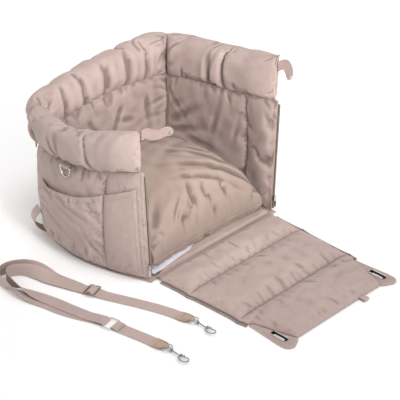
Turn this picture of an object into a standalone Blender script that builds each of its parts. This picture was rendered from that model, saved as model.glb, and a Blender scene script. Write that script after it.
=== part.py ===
"""Dog car seat: a soft tub of padded walls with a stuffed rim, a lift-out cushion,
a zip-in front flap that lies open, and a loose shoulder strap with two snap hooks.

Metres, +Z up. The origin is the centre of the underside; the open front faces -Y.
"""
import math

import bmesh
import bpy
import numpy as np
from mathutils import Matrix, Vector

# Clearances shared by all pieces
GAP = 0.0003                   # between pieces that touch
SEAT_GAP = 0.0008              # between soft pieces with curved faces
CUT_OVERRUN = 0.002            # how far a cutter runs past the face that it cuts
FLOOR_LIFT = 0.0005            # soft pieces on the floor start this high
SHARP_ANGLE = math.radians(40.0)

# Plan of the tub: centre lines of the walls at the base and at their top
FRONT_Y = -0.181
BASE_FRONT_HALF = 0.200
BASE_BACK_HALF = 0.203
BASE_BACK_Y = 0.184
BASE_BULGE_LEFT = 0.044
BASE_BULGE_RIGHT = 0.014
TOP_FRONT_HALF = 0.214
TOP_BACK_HALF = 0.214
TOP_BACK_Y = 0.186
TOP_BULGE_LEFT = 0.016
TOP_BULGE_RIGHT = 0.004
BACK_BULGE = 0.006
SQUARENESS_LEFT = 8.5          # exponent of the half superellipse: higher is squarer
SQUARENESS_RIGHT = 9.0
WALL_BELLY = 0.012             # how far the filled walls swell out at half height

# Walls
PLAN_STEPS = 2400              # fine steps of each plan curve
FACE_SAMPLES = 400
FACET_SAG = 0.0002             # the walls' flat facets lie at least this far inside the curve
WALL_THICKNESS = 0.034
WALL_EDGE = 0.010
WALL_FOOT = 0.016
FACING_WIDTH = 0.098           # sewn front strip of each side wall

# Height of the stuffed rim's top at seven stations, front left round to front right
RIM_TOP_FRONT_LEFT = 0.388
RIM_TOP_MID_LEFT = 0.330
RIM_TOP_BACK_LEFT = 0.316
RIM_TOP_MID_BACK = 0.338
RIM_TOP_BACK_RIGHT = 0.346
RIM_TOP_MID_RIGHT = 0.366
RIM_TOP_FRONT_RIGHT = 0.398
RIM_TOPS = (RIM_TOP_FRONT_LEFT, RIM_TOP_MID_LEFT, RIM_TOP_BACK_LEFT, RIM_TOP_MID_BACK,
            RIM_TOP_BACK_RIGHT, RIM_TOP_MID_RIGHT, RIM_TOP_FRONT_RIGHT)

# Stuffed rim roll
ROLL_HEIGHT = 0.104             # at the front; less towards the back left corner
ROLL_THICKNESS = 0.070
ROLL_OUTSET = 0.010            # the roll leans out over the wall
ROLL_END_THICKNESS = 0.026     # sewn flat at the front
ROLL_SETBACK = 0.008           # its front end stops short of the wall's front edge
ROLL_TAPER = 0.060
ROLL_NIP = 0.026               # length over which a roll is drawn in at a corner seam

# Base
PANEL_THICKNESS = 0.003
BOARD_THICKNESS = 0.005
LINING_THICKNESS = 0.002
BASE_MARGIN = 0.007            # outer panel past the walls' centre line
FLAP_ROOM = 0.015              # board and lining stop behind the closed flap's fill
BOARD_INSET = 0.016            # board inside the walls' centre line

# Front flap, lying open; v is the distance from its hinge
HINGE_BEAD_RADIUS = 0.0035
HINGE_Y = -0.1945
FLAP_ROOT_HALF = 0.190
FLAP_TAPER = 0.010             # narrower on each side at the zips' far end
FLAP_OUTER_HALF = FLAP_ROOT_HALF - FLAP_TAPER
FLAP_LENGTH = 0.368
FLAP_ROOT_SEAM = 0.093
FLAP_OUTER_CHANNEL = 0.130     # from the second seam to the outer edge
FLAP_OUTER_SEAM = FLAP_LENGTH - FLAP_OUTER_CHANNEL
FLAP_CROWN = 0.025
FLAP_SEAM_THICKNESS = 0.008
FLAP_EDGE = 0.004
EAR_LENGTH = 0.106             # the zips stop where the ears start
FLAP_ZIP_END = FLAP_LENGTH - EAR_LENGTH
FLAP_DRAW_IN = 0.004           # side edges pull in between the seams
EAR_ROOT_INSET = 0.012         # the ear's inner edge from the flap's side where it starts
EAR_TIP_INSET = 0.042
EAR_FLARE = 0.004
EAR_INNER_ROOT = FLAP_OUTER_HALF - EAR_ROOT_INSET
EAR_INNER_TIP = FLAP_OUTER_HALF - EAR_TIP_INSET
EAR_OUTER_TIP = FLAP_OUTER_HALF + EAR_FLARE
EAR_REACH = 0.016              # the ear's tip runs past the flap's outer edge
EAR_THICKNESS = 0.004
EYELET_INSET = 0.017           # from the flap's side and from its outer edge
EYELET_SETBACK = 0.030
EYELET_X = FLAP_OUTER_HALF - EYELET_INSET
EYELET_V = FLAP_LENGTH - EYELET_SETBACK
EYELET_SLOT = (0.010, 0.036)   # width across, length along the flap
EYELET_WALL = 0.0012
EYELET_FLANGE = 0.0036
EYELET_PLATE = 0.0010
PULL_LOOP_X = 0.072

# Cushion
CUSHION_HALF_X = 0.179
CUSHION_FRONT_Y = -0.173
CUSHION_BACK_Y = 0.150
CUSHION_CROWN = 0.138
CUSHION_KEEL = 0.018
CUSHION_DRAW_IN = 0.010
CUSHION_EDGE = 0.004
CUSHION_FULLNESS = 0.31        # exponent: lower is boxier

# Pocket on the left wall
POCKET_CLOTH = 0.0024
POCKET_MOUTH_GAP = 0.013
POCKET_FRONT_TOP = 0.248
POCKET_MID_TOP = 0.176
POCKET_BACK_TOP = 0.160
POCKET_BOTTOM = 0.020
POCKET_SHARES = (0.03, 0.84)    # front and back ends along the wall
POCKET_END_SHARE = 0.16

# Webbing, rings and loops
WEBBING_WIDTH = 0.030
WEBBING_THICKNESS = 0.0018
D_RING_WIRE = 0.0017
D_RING_WIDTH = 0.034
D_RING_HEIGHT = 0.026
RING_LOOP_WIDTH = 0.024
RING_LOOP_DROP = 0.004
BELT_LOOP_WIDTH = 0.034
BELT_LOOP_REACH = 0.020
BELT_LOOP_BOTTOM = 0.012
BELT_LOOP_TOP = 0.070
BELT_LOOP_SHARE = 0.90         # place along the side wall

# Zips
ZIP_TAPE_WIDTH = 0.0060
ZIP_TAPE_THICKNESS = 0.0012
ZIP_COIL_RADIUS = 0.0016
ZIP_END_MARGIN = 0.010
SLIDER_LENGTH = 0.013
SLIDER_WALL = 0.0012
SLIDER_CLEARANCE = 0.0004
SLIDER_REST_HEIGHT = 0.038     # the zip stays joined below its slider
ARCH_RADIUS = 0.0028
ARCH_WIRE = 0.0008
PULL_WIRE = 0.0006
PULL_WIDTH = 0.0060
PULL_BAIL = 0.0080
PULL_LENGTH = 0.0250
PULL_THICKNESS = 0.0012

# Snap tabs at the front ends of the rim rolls
TAB_WIDTH = 0.024
TAB_THICKNESS = 0.0030
TAB_TIP_WIDTH = 0.013
TAB_STUD_RADIUS = 0.0060
TAB_STUD_HEIGHT = 0.0020
TAB_ROOT_HEIGHT = 0.082        # above the roll's seat
TAB_SETBACK = 0.006            # left tab behind its roll's front end
TAB_LENGTH = {"left": 0.094, "right": 0.060}

# Shoulder strap
SLIDE_LENGTH = 0.024
SLIDE_WIRE = 0.0013
RING_LENGTH = 0.022
BAR_MARGIN = 0.0034            # bars run past the webbing on each side
TAIL_LENGTH = 0.018            # doubled end of the short webbing
PATCH_LENGTH = 0.040
PATCH_WIDTH = 0.031
PATCH_THICKNESS = 0.0040
NOSE_THICKNESS = 0.0056
NOSE_INSET = 0.0036            # eye bar from the patch's end

# Swivel snap hook, measured along its axis from the eye's bar
HOOK_AXIS_Z = 0.0062
EYE_WIDTH = 0.0220
EYE_LENGTH = 0.0130
EYE_WIRE = 0.0013
BOSS_RADIUS = 0.0036
BOSS_LENGTH = 0.0050
SWIVEL_HEAD = 0.0034
SWIVEL_HEAD_LENGTH = 0.0022
SWIVEL_NECK = 0.0016
COLLAR_RADIUS = 0.0040
COLLAR_LENGTH = 0.0024
STEM_RADIUS = 0.0016
STEM_LENGTH = 0.0260
KNUCKLE_RADIUS = 0.0032
CLAW_HALF_LENGTH = 0.0125
CLAW_HALF_WIDTH = 0.0090
CLAW_WIRE = 0.0018
CLAW_ROOT = 0.0019
CLAW_TIP_WIRE = 0.0013
CLAW_START = math.radians(180.0)
CLAW_END = math.radians(412.0)
GATE_THICKNESS = 0.0018
GATE_WIDTH = 0.0022
GATE_PIN = 0.0008
GATE_KNUCKLE = 0.0019
GATE_THUMB = 0.0042


# Small modelling tools

def clear_scene():
    for old in list(bpy.data.objects):
        bpy.data.objects.remove(old, do_unlink=True)


def finish_material(name, colour, roughness, metallic=0.0):
    finish = bpy.data.materials.new(name)
    finish.use_nodes = True
    shader = finish.node_tree.nodes["Principled BSDF"]
    shader.inputs["Base Color"].default_value = (*colour, 1.0)
    shader.inputs["Roughness"].default_value = roughness
    shader.inputs["Metallic"].default_value = metallic
    finish.diffuse_color = (*colour, 1.0)
    return finish


def unit(vector):
    vector = np.asarray(vector, float)
    return vector / np.linalg.norm(vector)


def mesh_object(name, vertices, faces, finish, smooth=True):
    """A closed mesh whose faces are turned outwards."""
    mesh = bpy.data.meshes.new(name)
    mesh.from_pydata([tuple(v) for v in vertices], [], faces)
    shell = bmesh.new()
    shell.from_mesh(mesh)
    bmesh.ops.recalc_face_normals(shell, faces=shell.faces)
    shell.to_mesh(mesh)
    shell.free()
    mesh.materials.append(finish)
    if smooth:
        mesh.shade_smooth()
    obj = bpy.data.objects.new(name, mesh)
    bpy.context.scene.collection.objects.link(obj)
    return obj


def loft(name, rings, finish, closed=False):
    """A tube through rings of points, capped at both ends unless it closes on itself."""
    rings = np.asarray(rings, float)
    count, sides = rings.shape[:2]
    faces = []
    for i in range(count if closed else count - 1):
        here, there = i * sides, (i + 1) % count * sides
        for j in range(sides):
            k = (j + 1) % sides
            faces.append((here + j, here + k, there + k, there + j))
    if not closed:
        faces.append(tuple(range(sides)))
        faces.append(tuple((count - 1) * sides + j for j in range(sides)))
    return mesh_object(name, rings.reshape(-1, 3), faces, finish)


def padded_sheet(name, face, back, finish):
    """Two grids of points, joined round their border."""
    face, back = np.asarray(face, float), np.asarray(back, float)
    rows, columns = face.shape[:2]
    offset = rows * columns
    faces = []
    for i in range(rows - 1):
        for j in range(columns - 1):
            a, b = i * columns + j, i * columns + j + 1
            c, d = (i + 1) * columns + j + 1, (i + 1) * columns + j
            faces.append((a, b, c, d))
            faces.append((offset + d, offset + c, offset + b, offset + a))
    border = [j for j in range(columns)]
    border += [i * columns + columns - 1 for i in range(1, rows)]
    border += [(rows - 1) * columns + j for j in range(columns - 2, -1, -1)]
    border += [i * columns for i in range(rows - 2, 0, -1)]
    for a, b in zip(border, border[1:] + border[:1]):
        faces.append((b, a, offset + a, offset + b))
    points = np.concatenate([face.reshape(-1, 3), back.reshape(-1, 3)])
    return mesh_object(name, points, faces, finish)


def extrusion(name, outline, low, high, finish, place=None):
    """A flat outline given as (x, y) pairs, extruded along z from low to high."""
    shell = bmesh.new()
    loop = [shell.verts.new((x, y, low)) for x, y in outline]
    base = shell.faces.new(loop)
    grown = bmesh.ops.extrude_face_region(shell, geom=[base])
    top = [item for item in grown["geom"] if isinstance(item, bmesh.types.BMVert)]
    bmesh.ops.translate(shell, verts=top, vec=(0.0, 0.0, high - low))
    bmesh.ops.recalc_face_normals(shell, faces=shell.faces)
    mesh = bpy.data.meshes.new(name)
    shell.to_mesh(mesh)
    shell.free()
    mesh.materials.append(finish)
    obj = bpy.data.objects.new(name, mesh)
    bpy.context.scene.collection.objects.link(obj)
    if place is not None:
        obj.data.transform(place)
    return obj


def apply_boolean(target, tool, operation):
    """Join or cut with the exact solver, then drop the tool."""
    step = target.modifiers.new(operation.title(), "BOOLEAN")
    step.operation = operation
    step.solver = "EXACT"
    step.object = tool
    graph = bpy.context.evaluated_depsgraph_get()
    result = bpy.data.meshes.new_from_object(target.evaluated_get(graph))
    target.modifiers.remove(step)
    target.data = result
    bpy.data.objects.remove(tool, do_unlink=True)
    return target


def turn_on(obj, point):
    """Put a moving piece's origin on its joint."""
    obj.data.transform(Matrix.Translation(-Vector(point)))
    obj.location = point
    return obj


def hang_on(name, point, pieces):
    """An empty on a joint, which carries the pieces that move with it."""
    joint = bpy.data.objects.new(name, None)
    joint.location = point
    bpy.context.scene.collection.objects.link(joint)
    for piece in pieces:
        piece.parent = joint
        piece.location -= Vector(point)
    return joint


def circle(radius, sides, start=0.0):
    turns = start + np.arange(sides) * math.tau / sides
    return np.stack([radius * np.cos(turns), radius * np.sin(turns)], axis=1)


def tube(name, path, normal, radii, sides, finish, closed=False):
    """A round bar along a path that lies in the plane across the given normal."""
    path = np.asarray(path, float)
    normal = unit(normal)
    radii = np.broadcast_to(np.asarray(radii, float), len(path))
    if closed:
        along = np.roll(path, -1, axis=0) - np.roll(path, 1, axis=0)
    else:
        along = np.gradient(path, axis=0)
    along /= np.linalg.norm(along, axis=1, keepdims=True)
    across = np.cross(normal, along)
    section = circle(1.0, sides)
    rings = (path[:, None] + radii[:, None, None]
             * (section[None, :, :1] * across[:, None] + section[None, :, 1:] * normal))
    return loft(name, rings, finish, closed)


def cut_corners(corners, length):
    """Each corner of a closed loop is replaced by two points on its sides."""
    corners = np.asarray(corners, float)
    path = []
    for before, corner, after in zip(np.roll(corners, 1, axis=0), corners,
                                     np.roll(corners, -1, axis=0)):
        path += [corner + unit(before - corner) * length, corner + unit(after - corner) * length]
    return path


def ribbon(name, path, widths, width, thickness, finish):
    """A flat band along a path; widths gives the direction of its width at each point."""
    path = np.asarray(path, float)
    widths = np.asarray(widths, float)
    along = np.gradient(path, axis=0)
    along /= np.linalg.norm(along, axis=1, keepdims=True)
    widths = widths - along * np.sum(widths * along, axis=1, keepdims=True)
    widths /= np.linalg.norm(widths, axis=1, keepdims=True)
    lift = np.cross(along, widths)
    half = np.broadcast_to(np.asarray(width, float), len(path))[:, None] / 2
    rings = [path + widths * half * a + lift * thickness / 2 * b
             for a, b in ((-1, -1), (1, -1), (1, 1), (-1, 1))]
    return loft(name, np.stack(rings, axis=1), finish)


def smooth_through(values, share):
    """Catmull-Rom curve through evenly spaced values, read at shares from 0 to 1."""
    values = np.asarray(values, float)
    spans = len(values) - 1
    place = np.clip(np.asarray(share, float), 0.0, 1.0) * spans
    i = np.minimum(place.astype(int), spans - 1)
    t = place - i
    if values.ndim > 1:
        t = t[..., None]
    first = 2 * values[0] - values[1]
    last = 2 * values[-1] - values[-2]
    padded = np.concatenate([[first], values, [last]])
    p0, p1, p2, p3 = padded[i], padded[i + 1], padded[i + 2], padded[i + 3]
    return 0.5 * (2 * p1 + (p2 - p0) * t + (2 * p0 - 5 * p1 + 4 * p2 - p3) * t ** 2
                  + (3 * p1 - p0 - 3 * p2 + p3) * t ** 3)


def crown(share, power=3.0):
    """0 at both ends of a channel and 1 in its middle, steep at the seams."""
    return np.sqrt(np.clip(1.0 - np.abs(2.0 * share - 1.0) ** power, 0.0, 1.0))


def channels(share, seams, power=3.0):
    """The crown of each channel between the seams, which are shares of the length."""
    edges = np.concatenate([[0.0], seams, [1.0]])
    i = np.clip(np.searchsorted(edges, share, side="right") - 1, 0, len(edges) - 2)
    return crown((share - edges[i]) / (edges[i + 1] - edges[i]), power)


def eased(count):
    """Shares from 0 to 1 that lie closer together at both ends."""
    return (1.0 - np.cos(np.linspace(0.0, math.pi, count))) / 2


def eased_between(marks, count):
    """Shares that lie closer together at each mark."""
    parts = [low + (high - low) * eased(count)[:-1] for low, high in zip(marks, marks[1:])]
    return np.concatenate(parts + [[marks[-1]]])


# The tub's plan

def plan_curve(side, front_half, back_half, back_y, bulge_left, bulge_right):
    """Fine points of one third of a rounded U: left and right start at the front."""
    spans = {"left": (math.pi, 0.75 * math.pi), "back": (0.75 * math.pi, 0.25 * math.pi),
             "right": (0.0, 0.25 * math.pi)}
    turn = np.linspace(*spans[side], PLAN_STEPS)
    square = np.where(np.cos(turn) < 0, SQUARENESS_LEFT, SQUARENESS_RIGHT)
    reach = (np.abs(np.cos(turn)) ** square + np.abs(np.sin(turn)) ** square) ** (-1 / square)
    x_share, y_share = reach * np.cos(turn), reach * np.sin(turn)
    bulge = np.where(x_share < 0, bulge_left, bulge_right) * np.sin(math.pi * y_share)
    half = front_half + (back_half - front_half) * y_share + bulge
    x = x_share * half
    y = FRONT_Y + (back_y - FRONT_Y) * y_share + BACK_BULGE * y_share * (1 - x_share ** 2)
    return np.stack([x, y], axis=1)


def along_curve(curve, share):
    """Points and outward normals at shares of a curve's length."""
    steps = np.linalg.norm(np.diff(curve, axis=0), axis=1)
    length = np.concatenate([[0.0], np.cumsum(steps)])
    places = np.asarray(share, float) * length[-1]
    points = np.stack([np.interp(places, length, curve[:, i]) for i in range(2)], axis=-1)
    slopes = np.gradient(curve, length, axis=0)
    slopes = np.stack([np.interp(places, length, slopes[:, i]) for i in range(2)], axis=-1)
    slopes /= np.linalg.norm(slopes, axis=-1, keepdims=True)
    return points, slopes, length[-1]


BASE_PLAN = {side: plan_curve(side, BASE_FRONT_HALF, BASE_BACK_HALF, BASE_BACK_Y,
                              BASE_BULGE_LEFT, BASE_BULGE_RIGHT)
             for side in ("left", "back", "right")}
TOP_PLAN = {side: plan_curve(side, TOP_FRONT_HALF, TOP_BACK_HALF, TOP_BACK_Y,
                             TOP_BULGE_LEFT, TOP_BULGE_RIGHT)
            for side in ("left", "back", "right")}
OUTWARD_TURN = {"left": -1.0, "back": -1.0, "right": 1.0}
WALL_BOTTOM = PANEL_THICKNESS + GAP


def rim_share(side, share):
    """Where a place on one side lies on the whole rim, from 0 to 1."""
    share = np.asarray(share, float)
    return {"left": share / 3, "back": (1 + share) / 3, "right": 1 - share / 3}[side]


def rim_top(side, share):
    return smooth_through(RIM_TOPS, rim_share(side, share))


# Height of the rolls at the rim's seven stations
ROLL_HEIGHT_SHARES = (1.0, 0.87, 0.79, 0.89, 0.98, 1.0, 1.0)


def roll_height(side, share):
    return ROLL_HEIGHT * smooth_through(ROLL_HEIGHT_SHARES, rim_share(side, share))


def wall_top(side, share):
    return rim_top(side, share) - roll_height(side, share) - SEAT_GAP


def plan_frame(side, share, height_share):
    """Plan point, outward normal and path direction of the wall's middle surface."""
    low, low_slope, _ = along_curve(BASE_PLAN[side], share)
    top, top_slope, _ = along_curve(TOP_PLAN[side], share)
    h = np.asarray(height_share, float)[..., None]
    slope = low_slope * (1 - h) + top_slope * h
    slope /= np.linalg.norm(slope, axis=-1, keepdims=True)
    turn = OUTWARD_TURN[side]
    outward = np.stack([-slope[..., 1], slope[..., 0]], axis=-1) * -turn
    swell = WALL_BELLY * np.sin(math.pi * np.asarray(height_share, float))
    if side != "back":
        ramp = np.clip(np.asarray(share, float) / FACING_SHARE[side], 0.0, 1.0)
        swell = swell * ramp * ramp * (3 - 2 * ramp)
    return low * (1 - h) + top * h + outward * swell[..., None], outward, slope


FACING_SHARE = {side: FACING_WIDTH / along_curve(BASE_PLAN[side], 1.0)[2]
                for side in ("left", "right")}


def middle_point(side, share, height_share):
    plan, outward, _ = plan_frame(side, share, height_share)
    height = WALL_BOTTOM + (wall_top(side, share) - WALL_BOTTOM) * height_share
    return (np.concatenate([plan, height[..., None]], axis=-1),
            np.concatenate([outward, np.zeros_like(height)[..., None]], axis=-1))


class ZipEdge:
    """The straight front edge of a side wall, with the directions up, back and out."""

    def __init__(self, side):
        start = np.array(0.0)
        self.foot, outward = middle_point(side, start, start)
        head, _ = middle_point(side, start, np.array(1.0))
        self.length = np.linalg.norm(head - self.foot)
        self.up = (head - self.foot) / self.length
        self.back = np.array([0.0, 1.0, 0.0])
        self.back = unit(self.back - self.up * (self.back @ self.up))
        self.out = np.cross(self.back, self.up)
        self.out = self.out if self.out @ outward > 0 else -self.out

    def point(self, height, forward, out=0.0):
        return self.foot + self.up * height - self.back * forward + self.out * out


ZIP_EDGE = {side: ZipEdge(side) for side in ("left", "right")}


# Walls, rim rolls and base

def wall_thickness(side, share, height_share):
    seams = np.array([FACING_SHARE[side]]) if side != "back" else np.array([])
    body = channels(share, seams) * crown(height_share, 4.0)
    seam_side = WALL_EDGE + (WALL_FOOT - WALL_EDGE) * (1 - height_share) ** 8
    return seam_side + (WALL_THICKNESS - seam_side) * body


def build_wall(side, finish):
    marks = [0.0, FACING_SHARE[side], 1.0] if side != "back" else [0.0, 0.5, 1.0]
    shares = eased_between(marks, 10)
    if side == "back":
        inset = GAP / along_curve(TOP_PLAN[side], 1.0)[2]
        shares = inset + shares * (1 - 2 * inset)
    else:
        shares = shares * (1 - GAP / along_curve(TOP_PLAN[side], 1.0)[2])
    share, height = np.meshgrid(shares, eased(10), indexing="ij")
    middle, outward = middle_point(side, share, height)
    half = wall_thickness(side, share, height)[..., None] / 2
    return padded_sheet(f"{side}_wall", middle + outward * half, middle - outward * half,
                        finish)


# Sewn gathers of each roll: place along the roll, depth and width, all as shares
ROLL_FOLD_SHARES = {
    "left": ((0.30, 0.07, 0.05), (0.78, 0.10, 0.05)),
    "back": ((0.24, 0.16, 0.035), (0.50, 0.12, 0.030), (0.66, 0.17, 0.035)),
    "right": ((0.46, 0.15, 0.030), (0.56, 0.07, 0.025)),
}
ROLL_CORNER_SHARE = 0.72       # thickness left at a corner seam
ROLL_FRONT_HEIGHT_SHARE = 0.985


def roll_size(side, shares):
    """Thickness and height of a roll, drawn in at its corners, folds and front end."""
    length = along_curve(TOP_PLAN[side], 1.0)[2]
    thick = np.full_like(shares, ROLL_THICKNESS)
    tall = roll_height(side, shares)
    ends = 1 - shares
    if side == "back":
        ends = np.minimum(shares, ends)
    else:
        taper = np.clip((shares * length - ROLL_SETBACK) / ROLL_TAPER, 0.0, 1.0)
        flat = np.sin(taper * math.pi / 2)
        thick = ROLL_END_THICKNESS + (thick - ROLL_END_THICKNESS) * flat
        tall = tall * (ROLL_FRONT_HEIGHT_SHARE + (1 - ROLL_FRONT_HEIGHT_SHARE) * flat)
    ends = np.clip(ends * length / ROLL_NIP, 0.0, 1.0)
    thick = thick * (ROLL_CORNER_SHARE + (1 - ROLL_CORNER_SHARE) * np.sqrt(ends * (2 - ends)))
    for place, depth, width in ROLL_FOLD_SHARES[side]:
        thick = thick * (1 - depth * np.exp(-((shares - place) / width) ** 2))
    return thick, tall


def build_roll(side, finish):
    length = along_curve(TOP_PLAN[side], 1.0)[2]
    start = ROLL_SETBACK / length if side != "back" else GAP / length
    stop = 1 - GAP / length
    shares = start + (stop - start) * eased_between([0.0, 0.5, 1.0], 13)
    plan, outward, _ = plan_frame(side, shares, np.ones_like(shares))
    thick, tall = roll_size(side, shares)
    seat = wall_top(side, shares) + SEAT_GAP
    section = circle(1.0, 16, -math.pi / 2)
    rounded = np.sign(section) * np.abs(section) ** 0.8
    level = (1 + rounded[None, :, 1]) / 2
    lean = ROLL_OUTSET * thick / ROLL_THICKNESS
    out = thick[:, None] / 2 * rounded[None, :, 0] + lean[:, None] * level
    rings = np.zeros((len(shares), len(section), 3))
    rings[:, :, :2] = plan[:, None] + outward[:, None] * out[..., None]
    rings[:, :, 2] = seat[:, None] + tall[:, None] * level
    return loft(f"{side}_rim_roll", rings, finish)


def base_outline(offset, front_y):
    """The walls' base plan grown by an offset, with a straight front edge."""
    points = []
    for side, shares in (("left", np.linspace(0, 1, 9)[:-1]), ("back", np.linspace(0, 1, 11)),
                         ("right", np.linspace(1, 0, 9)[1:])):
        plan, outward, _ = plan_frame(side, shares, np.zeros_like(shares))
        points.append(plan + outward * offset)
    outline = np.concatenate(points)
    outline[0, 1] = front_y
    outline[-1, 1] = front_y
    return [tuple(point) for point in outline]


BASE_FRONT_Y = HINGE_Y + HINGE_BEAD_RADIUS + GAP
BOARD_FRONT_Y = HINGE_Y + FLAP_ROOM
BOARD_BOTTOM = PANEL_THICKNESS + GAP
LINING_BOTTOM = BOARD_BOTTOM + BOARD_THICKNESS + GAP
LINING_TOP = LINING_BOTTOM + LINING_THICKNESS


def build_base(shell, card, white):
    extrusion("base_panel", base_outline(BASE_MARGIN, BASE_FRONT_Y), 0.0, PANEL_THICKNESS,
              shell)
    extrusion("base_board", base_outline(-BOARD_INSET, BOARD_FRONT_Y), BOARD_BOTTOM,
              BOARD_BOTTOM + BOARD_THICKNESS, card)
    extrusion("base_lining", base_outline(-BOARD_INSET, BOARD_FRONT_Y), LINING_BOTTOM,
              LINING_TOP, white)


# Lift-out cushion

def build_cushion(finish):
    shares = eased(22)
    across, along = np.meshgrid(2 * shares - 1, 2 * shares - 1, indexing="ij")
    middle_y = (CUSHION_FRONT_Y + CUSHION_BACK_Y) / 2
    half_y = (CUSHION_BACK_Y - CUSHION_FRONT_Y) / 2
    x = across * (CUSHION_HALF_X - CUSHION_DRAW_IN * (1 - along ** 2))
    y = middle_y + along * (half_y - CUSHION_DRAW_IN * (1 - across ** 2))
    swell = ((1 - np.abs(across) ** 2.3) * (1 - np.abs(along) ** 2.3)) ** CUSHION_FULLNESS
    seam_z = LINING_TOP + GAP + CUSHION_KEEL + CUSHION_EDGE / 2
    top = seam_z + CUSHION_EDGE / 2 + CUSHION_CROWN * swell
    keel = np.minimum(1.0, 1.8 * swell)
    under = seam_z - CUSHION_EDGE / 2 - CUSHION_KEEL * keel
    cushion = padded_sheet("cushion", np.stack([x, y, top], -1), np.stack([x, y, under], -1),
                           finish)
    return turn_on(cushion, (0.0, middle_y, seam_z))


# Front flap with its zip tapes, ears, eyelets and pull loop

FLAP_BOTTOM = FLOOR_LIFT
HINGE_Z = FLAP_BOTTOM + HINGE_BEAD_RADIUS


def flap_side(v):
    """Half width of the filled panel at a distance from the hinge."""
    seams = np.array([FLAP_ROOT_SEAM, FLAP_OUTER_SEAM]) / FLAP_LENGTH
    drawn = FLAP_DRAW_IN * channels(v / FLAP_LENGTH, seams)
    share = v / FLAP_ZIP_END
    side = FLAP_ROOT_HALF + (FLAP_OUTER_HALF - FLAP_ROOT_HALF) * share - drawn
    ear = np.clip((v - FLAP_ZIP_END) / (FLAP_LENGTH - FLAP_ZIP_END), 0.0, 1.0)
    tip = EAR_INNER_ROOT + (EAR_INNER_TIP - EAR_INNER_ROOT) * ear
    return np.where(v > FLAP_ZIP_END, np.minimum(side, tip), side)


def flap_rows():
    """Distances from the hinge of the panel's rows beside the zips."""
    return np.concatenate([eased_between([HINGE_BEAD_RADIUS, FLAP_ROOT_SEAM], 8),
                           eased_between([FLAP_ROOT_SEAM, FLAP_OUTER_SEAM], 9)[1:],
                           np.linspace(FLAP_OUTER_SEAM, FLAP_ZIP_END, 4)[1:]])


def build_flap(finish):
    """The quilted panel: flat below, three filled channels above, a round root bead."""
    root = HINGE_BEAD_RADIUS
    v = np.append(flap_rows(), eased_between([FLAP_ZIP_END, FLAP_LENGTH], 8)[1:])
    v = np.sort(np.append(v, FLAP_ZIP_END + GAP))
    across = 2 * eased(18) - 1
    v_grid, u_grid = np.meshgrid(v, across, indexing="ij")
    side = flap_side(v_grid)
    x = u_grid * side
    seams = np.array([FLAP_ROOT_SEAM, FLAP_OUTER_SEAM]) / FLAP_LENGTH
    fill = channels(v_grid / FLAP_LENGTH, seams)
    sides = crown((u_grid + 1) / 2, 6.0)
    thick = FLAP_EDGE + (FLAP_SEAM_THICKNESS - FLAP_EDGE) * sides
    thick = thick + (FLAP_CROWN - FLAP_SEAM_THICKNESS) * fill * sides
    y = HINGE_Y - v_grid
    under = np.full_like(v_grid, FLAP_BOTTOM)
    top = FLAP_BOTTOM + thick
    top[0] = HINGE_Z + HINGE_BEAD_RADIUS
    panel = np.stack([x, y, top], -1)
    floor = np.stack([x, y, under], -1)
    turns = np.linspace(0, math.pi, 7)[1:-1]
    bead = np.stack([np.stack([x[0], np.full_like(x[0], HINGE_Y + root * math.sin(a)),
                               np.full_like(x[0], HINGE_Z + root * math.cos(a))], -1)
                     for a in turns])
    upper = np.concatenate([bead[:3][::-1], panel])
    upper[0, :, 1] = HINGE_Y + root
    upper[0, :, 2] = HINGE_Z
    lower = np.concatenate([bead[2:][:3], floor])
    lower[0] = upper[0]
    return bead_panel("front_flap_panel", upper, lower, finish)


def bead_panel(name, upper, lower, finish):
    """Two grids that share their first row and are joined along the other three sides."""
    rows, columns = upper.shape[:2]
    faces = []

    def index_up(i, j):
        return i * columns + j

    def index_low(i, j):
        return j if i == 0 else rows * columns + (i - 1) * columns + j

    for i in range(rows - 1):
        for j in range(columns - 1):
            faces.append((index_up(i, j), index_up(i, j + 1), index_up(i + 1, j + 1),
                          index_up(i + 1, j)))
            faces.append((index_low(i, j), index_low(i + 1, j), index_low(i + 1, j + 1),
                          index_low(i, j + 1)))
        for j in (0, columns - 1):
            faces.append((index_up(i, j), index_up(i + 1, j), index_low(i + 1, j),
                          index_low(i, j)) if i else
                         (index_up(0, j), index_up(1, j), index_low(1, j)))
    for j in range(columns - 1):
        faces.append((index_up(rows - 1, j), index_up(rows - 1, j + 1),
                      index_low(rows - 1, j + 1), index_low(rows - 1, j)))
    points = np.concatenate([upper.reshape(-1, 3), lower[1:].reshape(-1, 3)])
    return mesh_object(name, points, faces, finish)


def rounded_slot(width, length, sides=5):
    """Outline of a rectangle with round corners, as (x, y) pairs about its centre."""
    radius = width * 0.35
    outline = []
    for corner, (sx, sy) in enumerate(((1, 1), (-1, 1), (-1, -1), (1, -1))):
        for turn in np.linspace(0, math.pi / 2, sides):
            angle = turn + corner * math.pi / 2
            outline.append((sx * (width / 2 - radius) + radius * math.cos(angle),
                            sy * (length / 2 - radius) + radius * math.sin(angle)))
    return outline


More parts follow.
